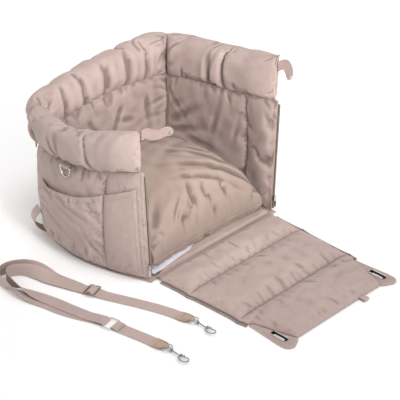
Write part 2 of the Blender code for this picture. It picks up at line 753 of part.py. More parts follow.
def build_ear(name, sign, finish):
    """Flat reinforced corner beside the last channel, with the eyelet's slot."""
    reach = FLAP_LENGTH + EAR_REACH
    inner_root = EAR_INNER_ROOT + GAP
    inner_tip = EAR_INNER_TIP + GAP
    tip_round = 0.40 * (EAR_OUTER_TIP - EAR_INNER_TIP)
    root_v = FLAP_ZIP_END + 2 * GAP
    outline = [(inner_root, root_v), (FLAP_OUTER_HALF - FLAP_DRAW_IN, root_v),
               (EAR_OUTER_TIP, reach - 2 * tip_round)]
    centre = (EAR_OUTER_TIP - tip_round, reach - tip_round)
    outline += [(centre[0] + tip_round * math.cos(a), centre[1] + tip_round * math.sin(a))
                for a in np.linspace(0.1, math.pi * 0.55, 6)]
    outline += [(inner_tip, FLAP_LENGTH)]
    placed = [(sign * x, HINGE_Y - v) for x, v in outline]
    ear = extrusion(name, placed, FLAP_BOTTOM, FLAP_BOTTOM + EAR_THICKNESS, finish)
    hole = [(x + sign * EYELET_X, y + HINGE_Y - EYELET_V)
            for x, y in rounded_slot(EYELET_SLOT[0] + 2 * (EYELET_WALL + GAP),
                                     EYELET_SLOT[1] + 2 * (EYELET_WALL + GAP))]
    cutter = extrusion(name + "_cutter", hole, FLAP_BOTTOM - CUT_OVERRUN,
                       FLAP_BOTTOM + EAR_THICKNESS + CUT_OVERRUN, finish)
    return apply_boolean(ear, cutter, "DIFFERENCE")


def build_eyelet(name, sign, finish):
    """Metal eyelet: a short rectangular tube with a flange clinched on the ear's top."""
    tall = EAR_THICKNESS + GAP + EYELET_PLATE
    levels = ((EYELET_WALL, 0.0), (EYELET_WALL, EAR_THICKNESS + GAP),
              (EYELET_FLANGE, EAR_THICKNESS + GAP), (EYELET_FLANGE, tall), (0.0, tall),
              (0.0, 0.0))
    rings = []
    for grow, level in levels:
        outline = rounded_slot(EYELET_SLOT[0] + 2 * grow, EYELET_SLOT[1] + 2 * grow)
        rings.append([(sign * EYELET_X + x, HINGE_Y - EYELET_V + y, FLAP_BOTTOM + level)
                      for x, y in outline])
    return loft(name, rings, finish, closed=True)


def zip_tape(name, spots, forward, out, finish):
    """Half of a zip: a flat tape with its coil along the free edge."""
    forward, out = np.asarray(forward, float), np.asarray(out, float)
    turns = np.linspace(-0.7 * math.pi, 0.7 * math.pi, 6)
    half = ZIP_TAPE_THICKNESS / 2
    profile = [(0.0, half), (0.0, -half), (ZIP_TAPE_WIDTH - ZIP_COIL_RADIUS, -half)]
    profile += [(ZIP_TAPE_WIDTH + ZIP_COIL_RADIUS * math.cos(a), ZIP_COIL_RADIUS * math.sin(a))
                for a in turns]
    profile += [(ZIP_TAPE_WIDTH - ZIP_COIL_RADIUS, half)]
    rings = [[spot + forward * a + out * b for a, b in profile] for spot in spots]
    return loft(name, rings, finish)


def build_wall_zip(side, finish):
    edge = ZIP_EDGE[side]
    spots = [edge.point(height, 2 * GAP)
             for height in (ZIP_END_MARGIN, edge.length - ZIP_END_MARGIN)]
    return zip_tape(f"{side}_wall_zip", spots, -edge.back, edge.out, finish)


def build_flap_zip(side, sign, finish):
    lengths = flap_rows()[2:]
    level = FLAP_BOTTOM + ZIP_COIL_RADIUS
    spots = [np.array([sign * (flap_side(v) + 2 * GAP), HINGE_Y - v, level]) for v in lengths]
    return zip_tape(f"{side}_flap_zip", spots, (sign, 0.0, 0.0), (0.0, 0.0, 1.0), finish)


def build_pull_loop(finish):
    """Small cloth loop sewn to the flap's outer edge."""
    turns = np.linspace(-math.pi / 2, math.pi / 2, 7)
    reach = EAR_REACH - 2 * WEBBING_THICKNESS
    radius = WEBBING_THICKNESS + GAP
    z = FLAP_BOTTOM + WEBBING_THICKNESS / 2 + radius
    y0 = HINGE_Y - FLAP_LENGTH - GAP
    path = [(PULL_LOOP_X, y0, z - radius)]
    path += [(PULL_LOOP_X, y0 - reach - radius * math.cos(a), z + radius * math.sin(a))
             for a in turns]
    path += [(PULL_LOOP_X, y0, z + radius)]
    return ribbon("flap_pull_loop", path, [(1, 0, 0)] * len(path), EAR_REACH,
                  WEBBING_THICKNESS, finish)


# Side pocket, rings and loops on the walls

def wall_face(side, share, z, out=0.0):
    """A point on the wall's outer face at a height, moved outwards, and its normal."""
    share = np.asarray(share, float)
    z = np.asarray(z, float)
    low = np.full_like(z, WALL_BOTTOM)
    height = np.clip((z - low) / (wall_top(side, share) - low), 0.0, 1.0)
    middle, outward = middle_point(side, share, height)
    half = wall_thickness(side, share, height)[..., None] / 2
    point = middle + outward * (half + np.asarray(out, float)[..., None])
    point[..., 2] = z
    return point, outward


def build_pocket(finish):
    """Cloth panel that lies on the left wall and stands open at its sagging top edge."""
    shares, levels = np.meshgrid(np.linspace(*POCKET_SHARES, 18), eased(7), indexing="ij")
    tops = smooth_through((POCKET_FRONT_TOP, POCKET_MID_TOP, POCKET_BACK_TOP), shares)
    z = POCKET_BOTTOM + (tops - POCKET_BOTTOM) * levels
    ends = np.minimum(shares - POCKET_SHARES[0], POCKET_SHARES[1] - shares)
    ends = np.clip(ends / POCKET_END_SHARE, 0.0, 1.0)
    gape = POCKET_MOUTH_GAP * levels ** 1.5 * np.sin(ends * math.pi / 2)
    inner, _ = wall_face("left", shares, z, 4 * GAP + gape)
    outer, _ = wall_face("left", shares, z, 4 * GAP + gape + POCKET_CLOTH)
    return padded_sheet("left_pocket_panel", outer, inner, finish)


RING_PLACES = {
    "left": ("left", 0.60),
    "right": ("right", 0.60),
    "back_left": ("back", 0.025),
    "back_right": ("back", 0.975),
}


def swell_out(side, share, z, half_width):
    """How far the walls stand out past a place on their face, over a width at one height."""
    base, outward = wall_face(side, share, z)
    sideways = np.cross((0, 0, 1), outward)
    shares = np.linspace(0.0, 1.0, FACE_SAMPLES)
    reach = 0.0
    for other in ("left", "back", "right"):
        offset = wall_face(other, shares, np.full_like(shares, z))[0] - base
        near = offset[np.abs(offset @ sideways) < half_width]
        reach = max(reach, float((near @ outward).max(initial=0.0)))
    return reach


def ring_frame(name):
    """Bar centre, outward and sideways directions of a D-ring under the rim roll."""
    side, share = RING_PLACES[name]
    slack = RING_LOOP_WIDTH / 2 / along_curve(TOP_PLAN[side], 1.0)[2]
    near = np.clip([share - slack, share, share + slack], 0.0, 1.0)
    bar_z = wall_top(side, near).min() - RING_LOOP_DROP
    share = np.array(share)
    _, outward = wall_face(side, share, bar_z)
    outs = []
    for turn in np.linspace(0, math.pi / 2, 7):
        half = D_RING_WIDTH / 2 * math.cos(turn) + D_RING_WIRE
        z = bar_z - D_RING_HEIGHT * math.sin(turn)
        outs.append((wall_face(side, share, z)[0] @ outward) + swell_out(side, share, z, half))
    level = np.array([*wall_face(side, share, bar_z)[0][:2], bar_z])
    out = max(outs) - level @ outward + GAP + D_RING_WIRE
    return level + outward * out, outward, np.cross((0, 0, 1), outward)


def build_ring(name, steel, cloth):
    """A D-ring whose bar is held by a doubled loop out of the seam under the roll."""
    centre, outward, sideways = ring_frame(name)
    down = np.array([0.0, 0.0, -1.0])
    half = D_RING_WIDTH / 2
    turns = np.linspace(0, math.pi, 9)
    path = [centre - sideways * half * math.cos(a) + down * D_RING_HEIGHT * math.sin(a)
            for a in turns]
    path += [centre + sideways * half * s for s in (0.5, 0.0, -0.5)]
    ring = tube(f"{name}_d_ring", path, outward, D_RING_WIRE, 8, steel, closed=True)
    turn_on(ring, centre)
    side, share = RING_PLACES[name]
    wrap = D_RING_WIRE + GAP + WEBBING_THICKNESS / 2
    ends = []
    for drop in (wrap, -wrap):
        lowest = centre[2] - drop - WEBBING_THICKNESS / 2
        face, _ = wall_face(side, np.array(share), lowest)
        out = face @ outward - FACET_SAG
        out += swell_out(side, np.array(share), lowest, RING_LOOP_WIDTH / 2)
        ends.append(centre + outward * (out - centre @ outward) + down * drop)
    loop = [ends[0]]
    loop += [centre + down * wrap * math.cos(a) + outward * wrap * math.sin(a)
             for a in np.linspace(0, math.pi, 9)]
    loop += [ends[1]]
    ribbon(f"{name}_ring_loop", loop, [sideways] * len(loop), RING_LOOP_WIDTH,
           WEBBING_THICKNESS, cloth)


def build_belt_loop(side, finish):
    """Webbing loop at a back corner that a seat belt runs through."""
    levels = np.linspace(0, 1, 11)
    share = BELT_LOOP_SHARE
    z = BELT_LOOP_BOTTOM + (BELT_LOOP_TOP - BELT_LOOP_BOTTOM) * levels
    out = WEBBING_THICKNESS / 2 + BELT_LOOP_REACH * np.sin(math.pi * levels) ** 0.8
    path, outward = wall_face(side, np.full_like(z, share), z, out)
    sideways = np.cross((0, 0, 1), outward[5])
    ribbon(f"{side}_belt_loop", path, [sideways] * len(path), BELT_LOOP_WIDTH,
           WEBBING_THICKNESS, finish)


# Zip sliders and pulls

COIL_CENTRE = 2 * GAP + ZIP_TAPE_WIDTH
SLIDER_INNER = ZIP_COIL_RADIUS + SLIDER_CLEARANCE
SLIDER_OUTER = SLIDER_INNER + SLIDER_WALL
SLIDER_SLIT = ZIP_TAPE_THICKNESS / 2 + SLIDER_CLEARANCE


def build_slider(side, metal):
    """A channel round the coil, with an arch on its face that carries the pull."""
    edge = ZIP_EDGE[side]
    mouth = COIL_CENTRE - SLIDER_OUTER
    inner_back = COIL_CENTRE - SLIDER_INNER
    inner_front = COIL_CENTRE + SLIDER_INNER
    front = COIL_CENTRE + SLIDER_OUTER
    outline = [(mouth, SLIDER_SLIT), (mouth, SLIDER_OUTER), (front, SLIDER_OUTER),
               (front, -SLIDER_OUTER), (mouth, -SLIDER_OUTER), (mouth, -SLIDER_SLIT),
               (inner_back, -SLIDER_SLIT), (inner_back, -SLIDER_INNER),
               (inner_front, -SLIDER_INNER), (inner_front, SLIDER_INNER),
               (inner_back, SLIDER_INNER), (inner_back, SLIDER_SLIT)]
    ends = [SLIDER_REST_HEIGHT + SLIDER_LENGTH / 2 * end for end in (-1, 1)]
    rings = [[edge.point(height, forward, out) for forward, out in outline] for height in ends]
    body = loft(f"{side}_zip_slider", rings, metal)
    sunk = math.asin(PULL_WIRE / ARCH_RADIUS)
    path = [edge.point(SLIDER_REST_HEIGHT + ARCH_RADIUS * math.cos(a), COIL_CENTRE,
                       SLIDER_OUTER + ARCH_RADIUS * math.sin(a))
            for a in np.linspace(-sunk, math.pi + sunk, 9)]
    arch = tube(f"{side}_zip_arch", path, edge.back, ARCH_WIRE, 6, metal)
    slider = apply_boolean(body, arch, "UNION")
    slider.data.set_sharp_from_angle(angle=SHARP_ANGLE)
    return turn_on(slider, edge.point(SLIDER_REST_HEIGHT, COIL_CENTRE))


# Outline of a pull's plate, as shares of its width and of its length
PULL_PLATE_SHARES = ((0.5, -0.34), (0.5, -0.92), (0.3, -1.0), (-0.3, -1.0), (-0.5, -0.92),
                     (-0.5, -0.34))


def build_pull(side, metal):
    """A wire bail through the slider's arch, fused to a flat pull."""
    edge = ZIP_EDGE[side]
    out = SLIDER_OUTER + GAP + PULL_WIRE
    half = PULL_WIDTH / 2 - PULL_WIRE
    corners = [edge.point(SLIDER_REST_HEIGHT + b, COIL_CENTRE + a, out)
               for a, b in ((half, 0.0), (half, -PULL_BAIL), (-half, -PULL_BAIL), (-half, 0.0))]
    path = cut_corners(corners, 2 * PULL_WIRE)
    pull = tube(f"{side}_zip_pull", path, edge.out, PULL_WIRE, 6, metal, closed=True)
    blade = [[edge.point(SLIDER_REST_HEIGHT + b * PULL_LENGTH, COIL_CENTRE + a * PULL_WIDTH,
                         out + level * PULL_THICKNESS / 2) for a, b in PULL_PLATE_SHARES]
             for level in (-1, 1)]
    plate = loft("plate", blade, metal)
    pull = apply_boolean(pull, plate, "UNION")
    pull.data.set_sharp_from_angle(angle=SHARP_ANGLE)
    return turn_on(pull, edge.point(SLIDER_REST_HEIGHT, COIL_CENTRE, out))


# Snap tabs

# Route of each tab from its root, as shares of its length: forward is -Y
TAB_ROUTE_SHARES = {
    "left": ((0.00, 0.0, 0.00), (0.16, 0.0, -0.01), (0.34, 0.0, -0.12), (0.56, 0.0, -0.19),
             (0.80, 0.0, -0.21), (1.00, 0.0, -0.32)),
    "right": ((0.00, 0.00, 0.00), (0.20, 0.00, 0.01), (0.40, 0.02, -0.05), (0.54, 0.04, -0.25),
              (0.62, 0.05, -0.50), (0.66, 0.05, -0.76)),
}


def roll_spot(side, back):
    """Centre, half thickness and outward direction of a roll at the height of its tab."""
    length = along_curve(TOP_PLAN[side], 1.0)[2]
    share = np.array([(ROLL_SETBACK + back) / length])
    plan, outward, slope = plan_frame(side, share, np.ones(1))
    thick, tall = roll_size(side, share)
    lean = ROLL_OUTSET * thick / ROLL_THICKNESS * TAB_ROOT_HEIGHT / tall
    spot = np.append(plan[0] + outward[0] * lean, wall_top(side, share) + TAB_ROOT_HEIGHT)
    return spot, float(thick[0]) / 2, np.append(outward[0], 0.0)


def tab_route(side):
    """The left tab leaves the roll's inner face, the right one its front end."""
    if side == "left":
        spot, half, outward = roll_spot(side, TAB_SETBACK)
        start = spot - outward * (half + SEAT_GAP)
    else:
        spot, half, outward = roll_spot(side, 0.0)
        start = spot - np.array([0.0, TAB_THICKNESS / 2 + SEAT_GAP, 0.0])
    steps = np.array(TAB_ROUTE_SHARES[side]) * TAB_LENGTH[side]
    return start + steps * (1.0, -1.0, 1.0)


def build_tab(side, cloth, steel):
    fine = smooth_through(tab_route(side), np.linspace(0, 1, 13))
    along = np.gradient(fine, axis=0)
    face = np.array([0.0, -1.0, 0.0])
    widths = np.cross(along, face)
    share = np.linspace(0, 1, len(fine))
    width = TAB_WIDTH + (TAB_TIP_WIDTH - TAB_WIDTH) * np.clip(share * 3 - 2, 0, 1) ** 2
    tab = ribbon(f"{side}_snap_tab", fine, widths, width, TAB_THICKNESS, cloth)
    seat = fine[-2]
    normal = unit(np.cross(widths[-2], along[-2]))
    normal = normal if normal[1] < 0 else -normal
    first = unit(along[-2])
    second = np.cross(normal, first)
    rings = []
    for radius_share, level_share in ((1.0, 0.0), (1.0, 0.35), (0.62, 0.45), (0.55, 1.0),
                                      (0.3, 1.15)):
        lift = TAB_THICKNESS / 2 + GAP + TAB_STUD_HEIGHT * level_share
        rings.append([seat + first * a + second * b + normal * lift
                      for a, b in circle(TAB_STUD_RADIUS * radius_share, 12)])
    stud = loft(f"{side}_snap_stud", rings, steel)
    hang_on(f"{side}_tab_root", fine[0], [tab, stud])


# Shoulder strap, lying on the floor beside the tub

UNDER = FLOOR_LIFT + WEBBING_THICKNESS / 2          # centre of the lower layer
LAYER = WEBBING_THICKNESS + 2 * GAP                 # step up to a layer on top of it
BAR_WRAP = SLIDE_WIRE + GAP + WEBBING_THICKNESS / 2  # webbing centre round a bar
SLIDE_PLACE = np.array([-0.3210, -0.1240])
SLIDE_ALONG = unit((-0.0090, 0.0260, 0.0))
RING_PLACE = np.array([-0.3775, -0.2420])
RING_ALONG = unit((0.0130, -0.0620, 0.0))
RING_HEIGHT = UNDER + BAR_WRAP
SLIDE_HEIGHT = UNDER + LAYER + WEBBING_THICKNESS / 2 + GAP + SLIDE_WIRE

# Route of the webbing as x, y, tilt of its width in degrees: from the first hook to the
# slide, round the loop to the ring as the upper layer, and back under it to the slide
HOOK_ROUTE = (
    (-0.2530, -0.3230, 0), (-0.2566, -0.3030, 0), (-0.2680, -0.2640, 0),
    (-0.2870, -0.2130, 0), (-0.3050, -0.1690, 0), (-0.3143, -0.1433, 0),
)
LOOP_ROUTE = (
    (-0.3277, -0.1047, 0), (-0.3350, -0.0850, 0), (-0.3470, -0.0500, 0),
    (-0.3560, -0.0220, -14), (-0.3650, 0.0030, -50), (-0.3780, 0.0300, -80),
    (-0.3940, 0.0470, -90), (-0.4120, 0.0510, -90), (-0.4260, 0.0390, -90),
    (-0.4320, 0.0150, -80), (-0.4280, -0.0130, -45), (-0.4200, -0.0440, -12),
    (-0.4090, -0.0850, 0), (-0.4010, -0.1350, 0), (-0.3920, -0.1850, 0),
)
UNDER_ROUTE = (
    (-0.3900, -0.1960, 0), (-0.4030, -0.1640, 0), (-0.4150, -0.1250, 0),
    (-0.4230, -0.0820, 0), (-0.4340, -0.0440, 10), (-0.4420, -0.0080, 45),
    (-0.4460, 0.0230, 82), (-0.4390, 0.0520, 90), (-0.4180, 0.0670, 90),
    (-0.3900, 0.0640, 90), (-0.3660, 0.0450, 80), (-0.3510, 0.0130, 45),
    (-0.3430, -0.0180, 8), (-0.3350, -0.0480, 0), (-0.3280, -0.0850, 0),
)


def route_points(table, base):
    """Points and width directions of a stretch of webbing, from a table of its route."""
    table = np.array(table, float)
    smooth = smooth_through(table, np.linspace(0.0, 1.0, 2 * len(table) - 1))
    along = np.gradient(smooth[:, :2], axis=0)
    along /= np.linalg.norm(along, axis=1, keepdims=True)
    tilt = np.radians(np.clip(smooth[:, 2], -90.0, 90.0))
    level = np.stack([-along[:, 1], along[:, 0]], axis=1)
    widths = np.concatenate([level * np.cos(tilt)[:, None], np.sin(tilt)[:, None]], axis=1)
    rise = (WEBBING_WIDTH * np.abs(np.sin(tilt)) + WEBBING_THICKNESS * np.cos(tilt)) / 2
    lift = base * np.cos(tilt)
    return np.column_stack([smooth[:, :2], FLOOR_LIFT + rise + lift]), widths


def over_slide():
    """The upper layer goes under the slide's end bars and over its middle bar."""
    low = UNDER + LAYER
    crest = SLIDE_HEIGHT + 2 * BAR_WRAP
    half = SLIDE_LENGTH / 2
    steps = ((-half - 2 * SLIDE_WIRE, low), (-half + SLIDE_WIRE, low),
             (-BAR_WRAP, crest - SLIDE_WIRE), (0.0, crest), (BAR_WRAP, crest - SLIDE_WIRE),
             (half - SLIDE_WIRE, low), (half + 2 * SLIDE_WIRE, low))
    return [np.array([*SLIDE_PLACE, height]) + SLIDE_ALONG * step for step, height in steps]


def half_turn(bar, start, first, last):
    """Webbing round a level bar between two angles, 90 degrees being the top."""
    return [bar + start * BAR_WRAP * math.cos(a) + np.array([0.0, 0.0, BAR_WRAP * math.sin(a)])
            for a in np.radians(np.linspace(first, last, 7))]


def level_side(along):
    return np.array([-along[1], along[0], 0.0])


def build_long_webbing(cloth):
    """From the first hook through the slide to the ring, and back to the slide's bar."""
    first, first_widths = route_points(HOOK_ROUTE, 0.0)
    first[-1, 2] = UNDER + LAYER / 2
    crossing = over_slide()
    upper, upper_widths = route_points(LOOP_ROUTE, LAYER)
    under, under_widths = route_points(UNDER_ROUTE, 0.0)
    ring_bar = np.array([*RING_PLACE, RING_HEIGHT]) - RING_ALONG * RING_LENGTH / 2
    slide_bar = np.array([*SLIDE_PLACE, SLIDE_HEIGHT])
    ring_turn = half_turn(ring_bar, RING_ALONG, 90, -90)
    slide_turn = half_turn(slide_bar, -SLIDE_ALONG, -90, 80)
    ring_turn = [ring_turn[0] - RING_ALONG * RING_LENGTH / 2, *ring_turn,
                 ring_turn[-1] - RING_ALONG * RING_LENGTH / 2]
    slide_turn = [np.array([*SLIDE_PLACE, UNDER]) + SLIDE_ALONG * SLIDE_LENGTH * share
                  for share in (0.8, 0.4)] + slide_turn
    slide_side, ring_side = level_side(SLIDE_ALONG), level_side(RING_ALONG)
    path = [*first, *crossing, *upper, *ring_turn, *under, *slide_turn]
    widths = [*first_widths, *[slide_side] * len(crossing), *upper_widths,
              *[ring_side] * len(ring_turn), *-under_widths, *[slide_side] * len(slide_turn)]
    return ribbon("strap_webbing_long", path, widths, WEBBING_WIDTH, WEBBING_THICKNESS, cloth)


# Strap ends: where each patch starts and ends, and which way its hook points
STRAP_ENDS = {
    "upper": (np.array([-0.2530, -0.3230]), np.array([-0.2462, -0.3620]), (-0.052, -0.999, 0)),
    "lower": (np.array([-0.3590, -0.3520]), np.array([-0.3550, -0.3918]), (-0.10, -0.995, 0)),
}


def build_short_webbing(cloth):
    """From its doubled end round the ring's far bar to the second hook's patch."""
    bar = np.array([*RING_PLACE, RING_HEIGHT]) + RING_ALONG * RING_LENGTH / 2
    turn = half_turn(bar, -RING_ALONG, 90, -90)
    root, nose, _ = STRAP_ENDS["lower"]
    before = root - unit(nose - root) * PATCH_LENGTH / 2
    start = turn[0] + RING_ALONG * TAIL_LENGTH
    start[2] = UNDER + LAYER
    low = smooth_through([turn[-1][:2], (turn[-1][:2] + before) / 2, before, root],
                         np.linspace(0.0, 1.0, 10))
    low = np.column_stack([low, np.full(len(low), UNDER)])
    path = [start, start - RING_ALONG * TAIL_LENGTH / 3, *turn, *low[1:]]
    widths = [level_side(RING_ALONG)] * (len(turn) + 2)
    along = np.gradient(low, axis=0)
    widths += [level_side(unit(step)) for step in along[1:]]
    return ribbon("strap_webbing_short", path, widths, WEBBING_WIDTH, WEBBING_THICKNESS, cloth)


def bar_frame(name, place, along, bars, length, height, metal):
    """A flat wire frame across the webbing, with an optional middle bar."""
    side = level_side(along)
    centre = np.array([*place, height])
    half = WEBBING_WIDTH / 2 + BAR_MARGIN
    corners = [centre + side * half * a + along * length / 2 * b
               for a, b in ((-1, -1), (1, -1), (1, 1), (-1, 1))]
    path = cut_corners(corners, 1.5 * SLIDE_WIRE)
    frame = tube(name, path, (0, 0, 1), SLIDE_WIRE, 8, metal, closed=True)
    if bars:
        middle = tube("middle_bar", [centre - side * half, centre + side * half], (0, 0, 1),
                      SLIDE_WIRE * 0.98, 8, metal)
        frame = apply_boolean(frame, middle, "UNION")
    return frame


PATCH_WIDTH_SHARES = ((0.0, 1.0), (0.12, 1.0), (0.56, 0.98), (0.72, 0.84), (0.84, 0.62),
                      (0.93, 0.54), (1.0, 0.52))


def build_patch(end, cloth):
    """Sewn end piece that narrows to a nose with a tunnel for the hook's eye."""
    root, nose, hook_along = STRAP_ENDS[end]
    along = unit([*(nose - root), 0.0])
    root = np.array([*root, FLOOR_LIFT + PATCH_THICKNESS / 2]) + along * SEAT_GAP
    nose = np.array([*nose, HOOK_AXIS_Z])
    side = level_side(along)
    section = circle(1.0, 12, math.pi / 12)
    section = np.sign(section) * np.abs(section) ** 0.6
    rings = []
    for place, share in PATCH_WIDTH_SHARES:
        centre = root + (nose - root) * place
        centre[2] = root[2] + (nose[2] - root[2]) * place ** 2
        half = (PATCH_THICKNESS + (NOSE_THICKNESS - PATCH_THICKNESS) * place) / 2
        rings.append([centre + side * PATCH_WIDTH / 2 * share * a + np.array([0, 0, half * b])
                      for a, b in section])
    patch = loft(f"strap_patch_{end}", rings, cloth)
    bar = eye_bar(end)
    across = level_side(unit(hook_along)) * PATCH_WIDTH
    cutter = tube("tunnel", [bar - across, bar + across], (0, 0, 1), EYE_WIRE + GAP, 10, cloth)
    return apply_boolean(patch, cutter, "DIFFERENCE")


def eye_bar(end):
    root, nose, _ = STRAP_ENDS[end]
    along = unit([*(nose - root), 0.0])
    return np.array([*nose, HOOK_AXIS_Z]) - along * NOSE_INSET


def hook_place(end):
    """Local x runs along the hook from its eye's bar, y to the side and z up."""
    along = unit(STRAP_ENDS[end][2])
    rows = np.array([along, level_side(along), (0.0, 0.0, 1.0)]).T
    place = Matrix(rows.tolist()).to_4x4()
    place.translation = Vector(eye_bar(end))
    return place


BOSS_START = EYE_LENGTH - BOSS_LENGTH / 2
BOSS_STOP = EYE_LENGTH + BOSS_LENGTH / 2
STEM_START = BOSS_STOP + GAP + COLLAR_LENGTH
STEM_STOP = STEM_START + STEM_LENGTH
CLAW_CENTRE = STEM_STOP + CLAW_HALF_LENGTH
GATE_PIVOT = (STEM_STOP, KNUCKLE_RADIUS)


# Half of an eye's outline, as shares of its length and of its half width
EYE_SHARES = ((0.0, 0.90), (0.10, 1.0), (0.45, 1.0), (0.82, 0.72), (1.0, 0.30))


def build_eye(end, metal):
    """D-shaped wire eye with a bored boss for the swivel."""
    half = EYE_WIDTH / 2
    path = [(EYE_LENGTH * a, half * b) for a, b in EYE_SHARES]
    path += [(x, -y) for x, y in reversed(path)]
    eye = tube(f"hook_eye_{end}", [(x, y, 0.0) for x, y in path], (0, 0, 1), EYE_WIRE, 8, metal,
               closed=True)
    boss = tube("boss", [(BOSS_START, 0.0, 0.0), (BOSS_STOP, 0.0, 0.0)], (0, 0, 1),
                BOSS_RADIUS, 12, metal)
    eye = apply_boolean(eye, boss, "UNION")
    bore = tube("bore", [(BOSS_START - CUT_OVERRUN, 0.0, 0.0), (BOSS_STOP + CUT_OVERRUN, 0, 0)],
                (0, 0, 1), SWIVEL_NECK + GAP, 12, metal)
    eye = apply_boolean(eye, bore, "DIFFERENCE")
    eye.data.transform(hook_place(end))
    eye.data.set_sharp_from_angle(angle=SHARP_ANGLE)
    return turn_on(eye, eye_bar(end))


def claw_path():
    turns = np.linspace(CLAW_START, CLAW_END, 17)
    return np.stack([CLAW_CENTRE + CLAW_HALF_LENGTH * np.cos(turns),
                     CLAW_HALF_WIDTH * np.sin(turns), np.zeros_like(turns)], axis=1)


def build_hook(end, metal):
    """Turned swivel and stem, the knuckle that holds the gate's pin, and the claw."""
    head = BOSS_START - GAP
    levels = ((head - SWIVEL_HEAD_LENGTH, SWIVEL_HEAD), (head, SWIVEL_HEAD),
              (head, SWIVEL_NECK), (BOSS_STOP + GAP, SWIVEL_NECK),
              (BOSS_STOP + GAP, COLLAR_RADIUS), (STEM_START, COLLAR_RADIUS),
              (STEM_START, STEM_RADIUS), (STEM_STOP - KNUCKLE_RADIUS, STEM_RADIUS),
              (STEM_STOP - KNUCKLE_RADIUS / 2, CLAW_ROOT), (STEM_STOP + CLAW_WIRE, CLAW_ROOT))
    rings = [[(x, a, b) for a, b in circle(radius, 12, math.pi / 12)] for x, radius in levels]
    hook = loft(f"snap_hook_{end}", rings, metal)
    path = claw_path()
    radii = np.linspace(CLAW_WIRE, CLAW_TIP_WIRE, len(path))
    claw = tube("claw", path, (0, 0, 1), radii, 8, metal)
    hook = apply_boolean(hook, claw, "UNION")
    half = GATE_THICKNESS / 2 + GAP + CLAW_WIRE / 2
    rounded = [(GATE_PIVOT[0] + a, GATE_PIVOT[1] + b) for a, b in circle(KNUCKLE_RADIUS, 12)]
    knuckle = extrusion("knuckle", rounded, -half, half, metal)
    hook = apply_boolean(hook, knuckle, "UNION")
    room = [(GATE_PIVOT[0] + a, GATE_PIVOT[1] + b)
            for a, b in circle(KNUCKLE_RADIUS + GAP, 12)]
    slot = extrusion("slot", room, -GATE_THICKNESS / 2 - GAP, GATE_THICKNESS / 2 + GAP, metal)
    hook = apply_boolean(hook, slot, "DIFFERENCE")
    pin = extrusion("pin", [(GATE_PIVOT[0] + a, GATE_PIVOT[1] + b)
                            for a, b in circle(GATE_PIN, 8)], -half * 0.96, half * 0.96, metal)
    hook = apply_boolean(hook, pin, "UNION")
    hook.data.transform(hook_place(end))
    hook.data.set_sharp_from_angle(angle=SHARP_ANGLE)
    return turn_on(hook, eye_bar(end))


# Gate bar past its knuckle, as shares of its reach: closing bar and foot of the thumb knob
GATE_BAR_SHARE = 0.35
GATE_KNOB_SHARES = (0.22, 0.40, 0.45)


def build_gate(end, metal):
    """Sprung gate: a bored knuckle, a bar that closes the claw and a thumb knob."""
    pivot = np.array(GATE_PIVOT)
    tip = claw_path()[-1][:2]
    ahead = unit(tip - pivot)
    side = np.array([-ahead[1], ahead[0]])
    reach = np.linalg.norm(tip - pivot) - CLAW_TIP_WIRE - GAP
    outline = [pivot + GATE_KNUCKLE * (ahead * math.cos(a) + side * math.sin(a))
               for a in np.linspace(math.radians(60), math.radians(300), 9)]
    half = GATE_WIDTH / 2
    knob = [reach * share for share in GATE_KNOB_SHARES]
    outline += [pivot + ahead * x + side * y for x, y in (
        (reach * GATE_BAR_SHARE, -half), (reach, -half), (reach, half), (knob[2], half),
        (knob[1], GATE_THUMB), (knob[0], GATE_THUMB), (knob[0], half))]
    gate = extrusion(f"hook_gate_{end}", outline, -GATE_THICKNESS / 2, GATE_THICKNESS / 2, metal)
    bore = extrusion("bore", [pivot + spot for spot in circle(GATE_PIN + GAP, 8)],
                     -GATE_THICKNESS, GATE_THICKNESS, metal)
    gate = apply_boolean(gate, bore, "DIFFERENCE")
    gate.data.transform(hook_place(end))
    return turn_on(gate, hook_place(end) @ Vector((*GATE_PIVOT, 0.0)))


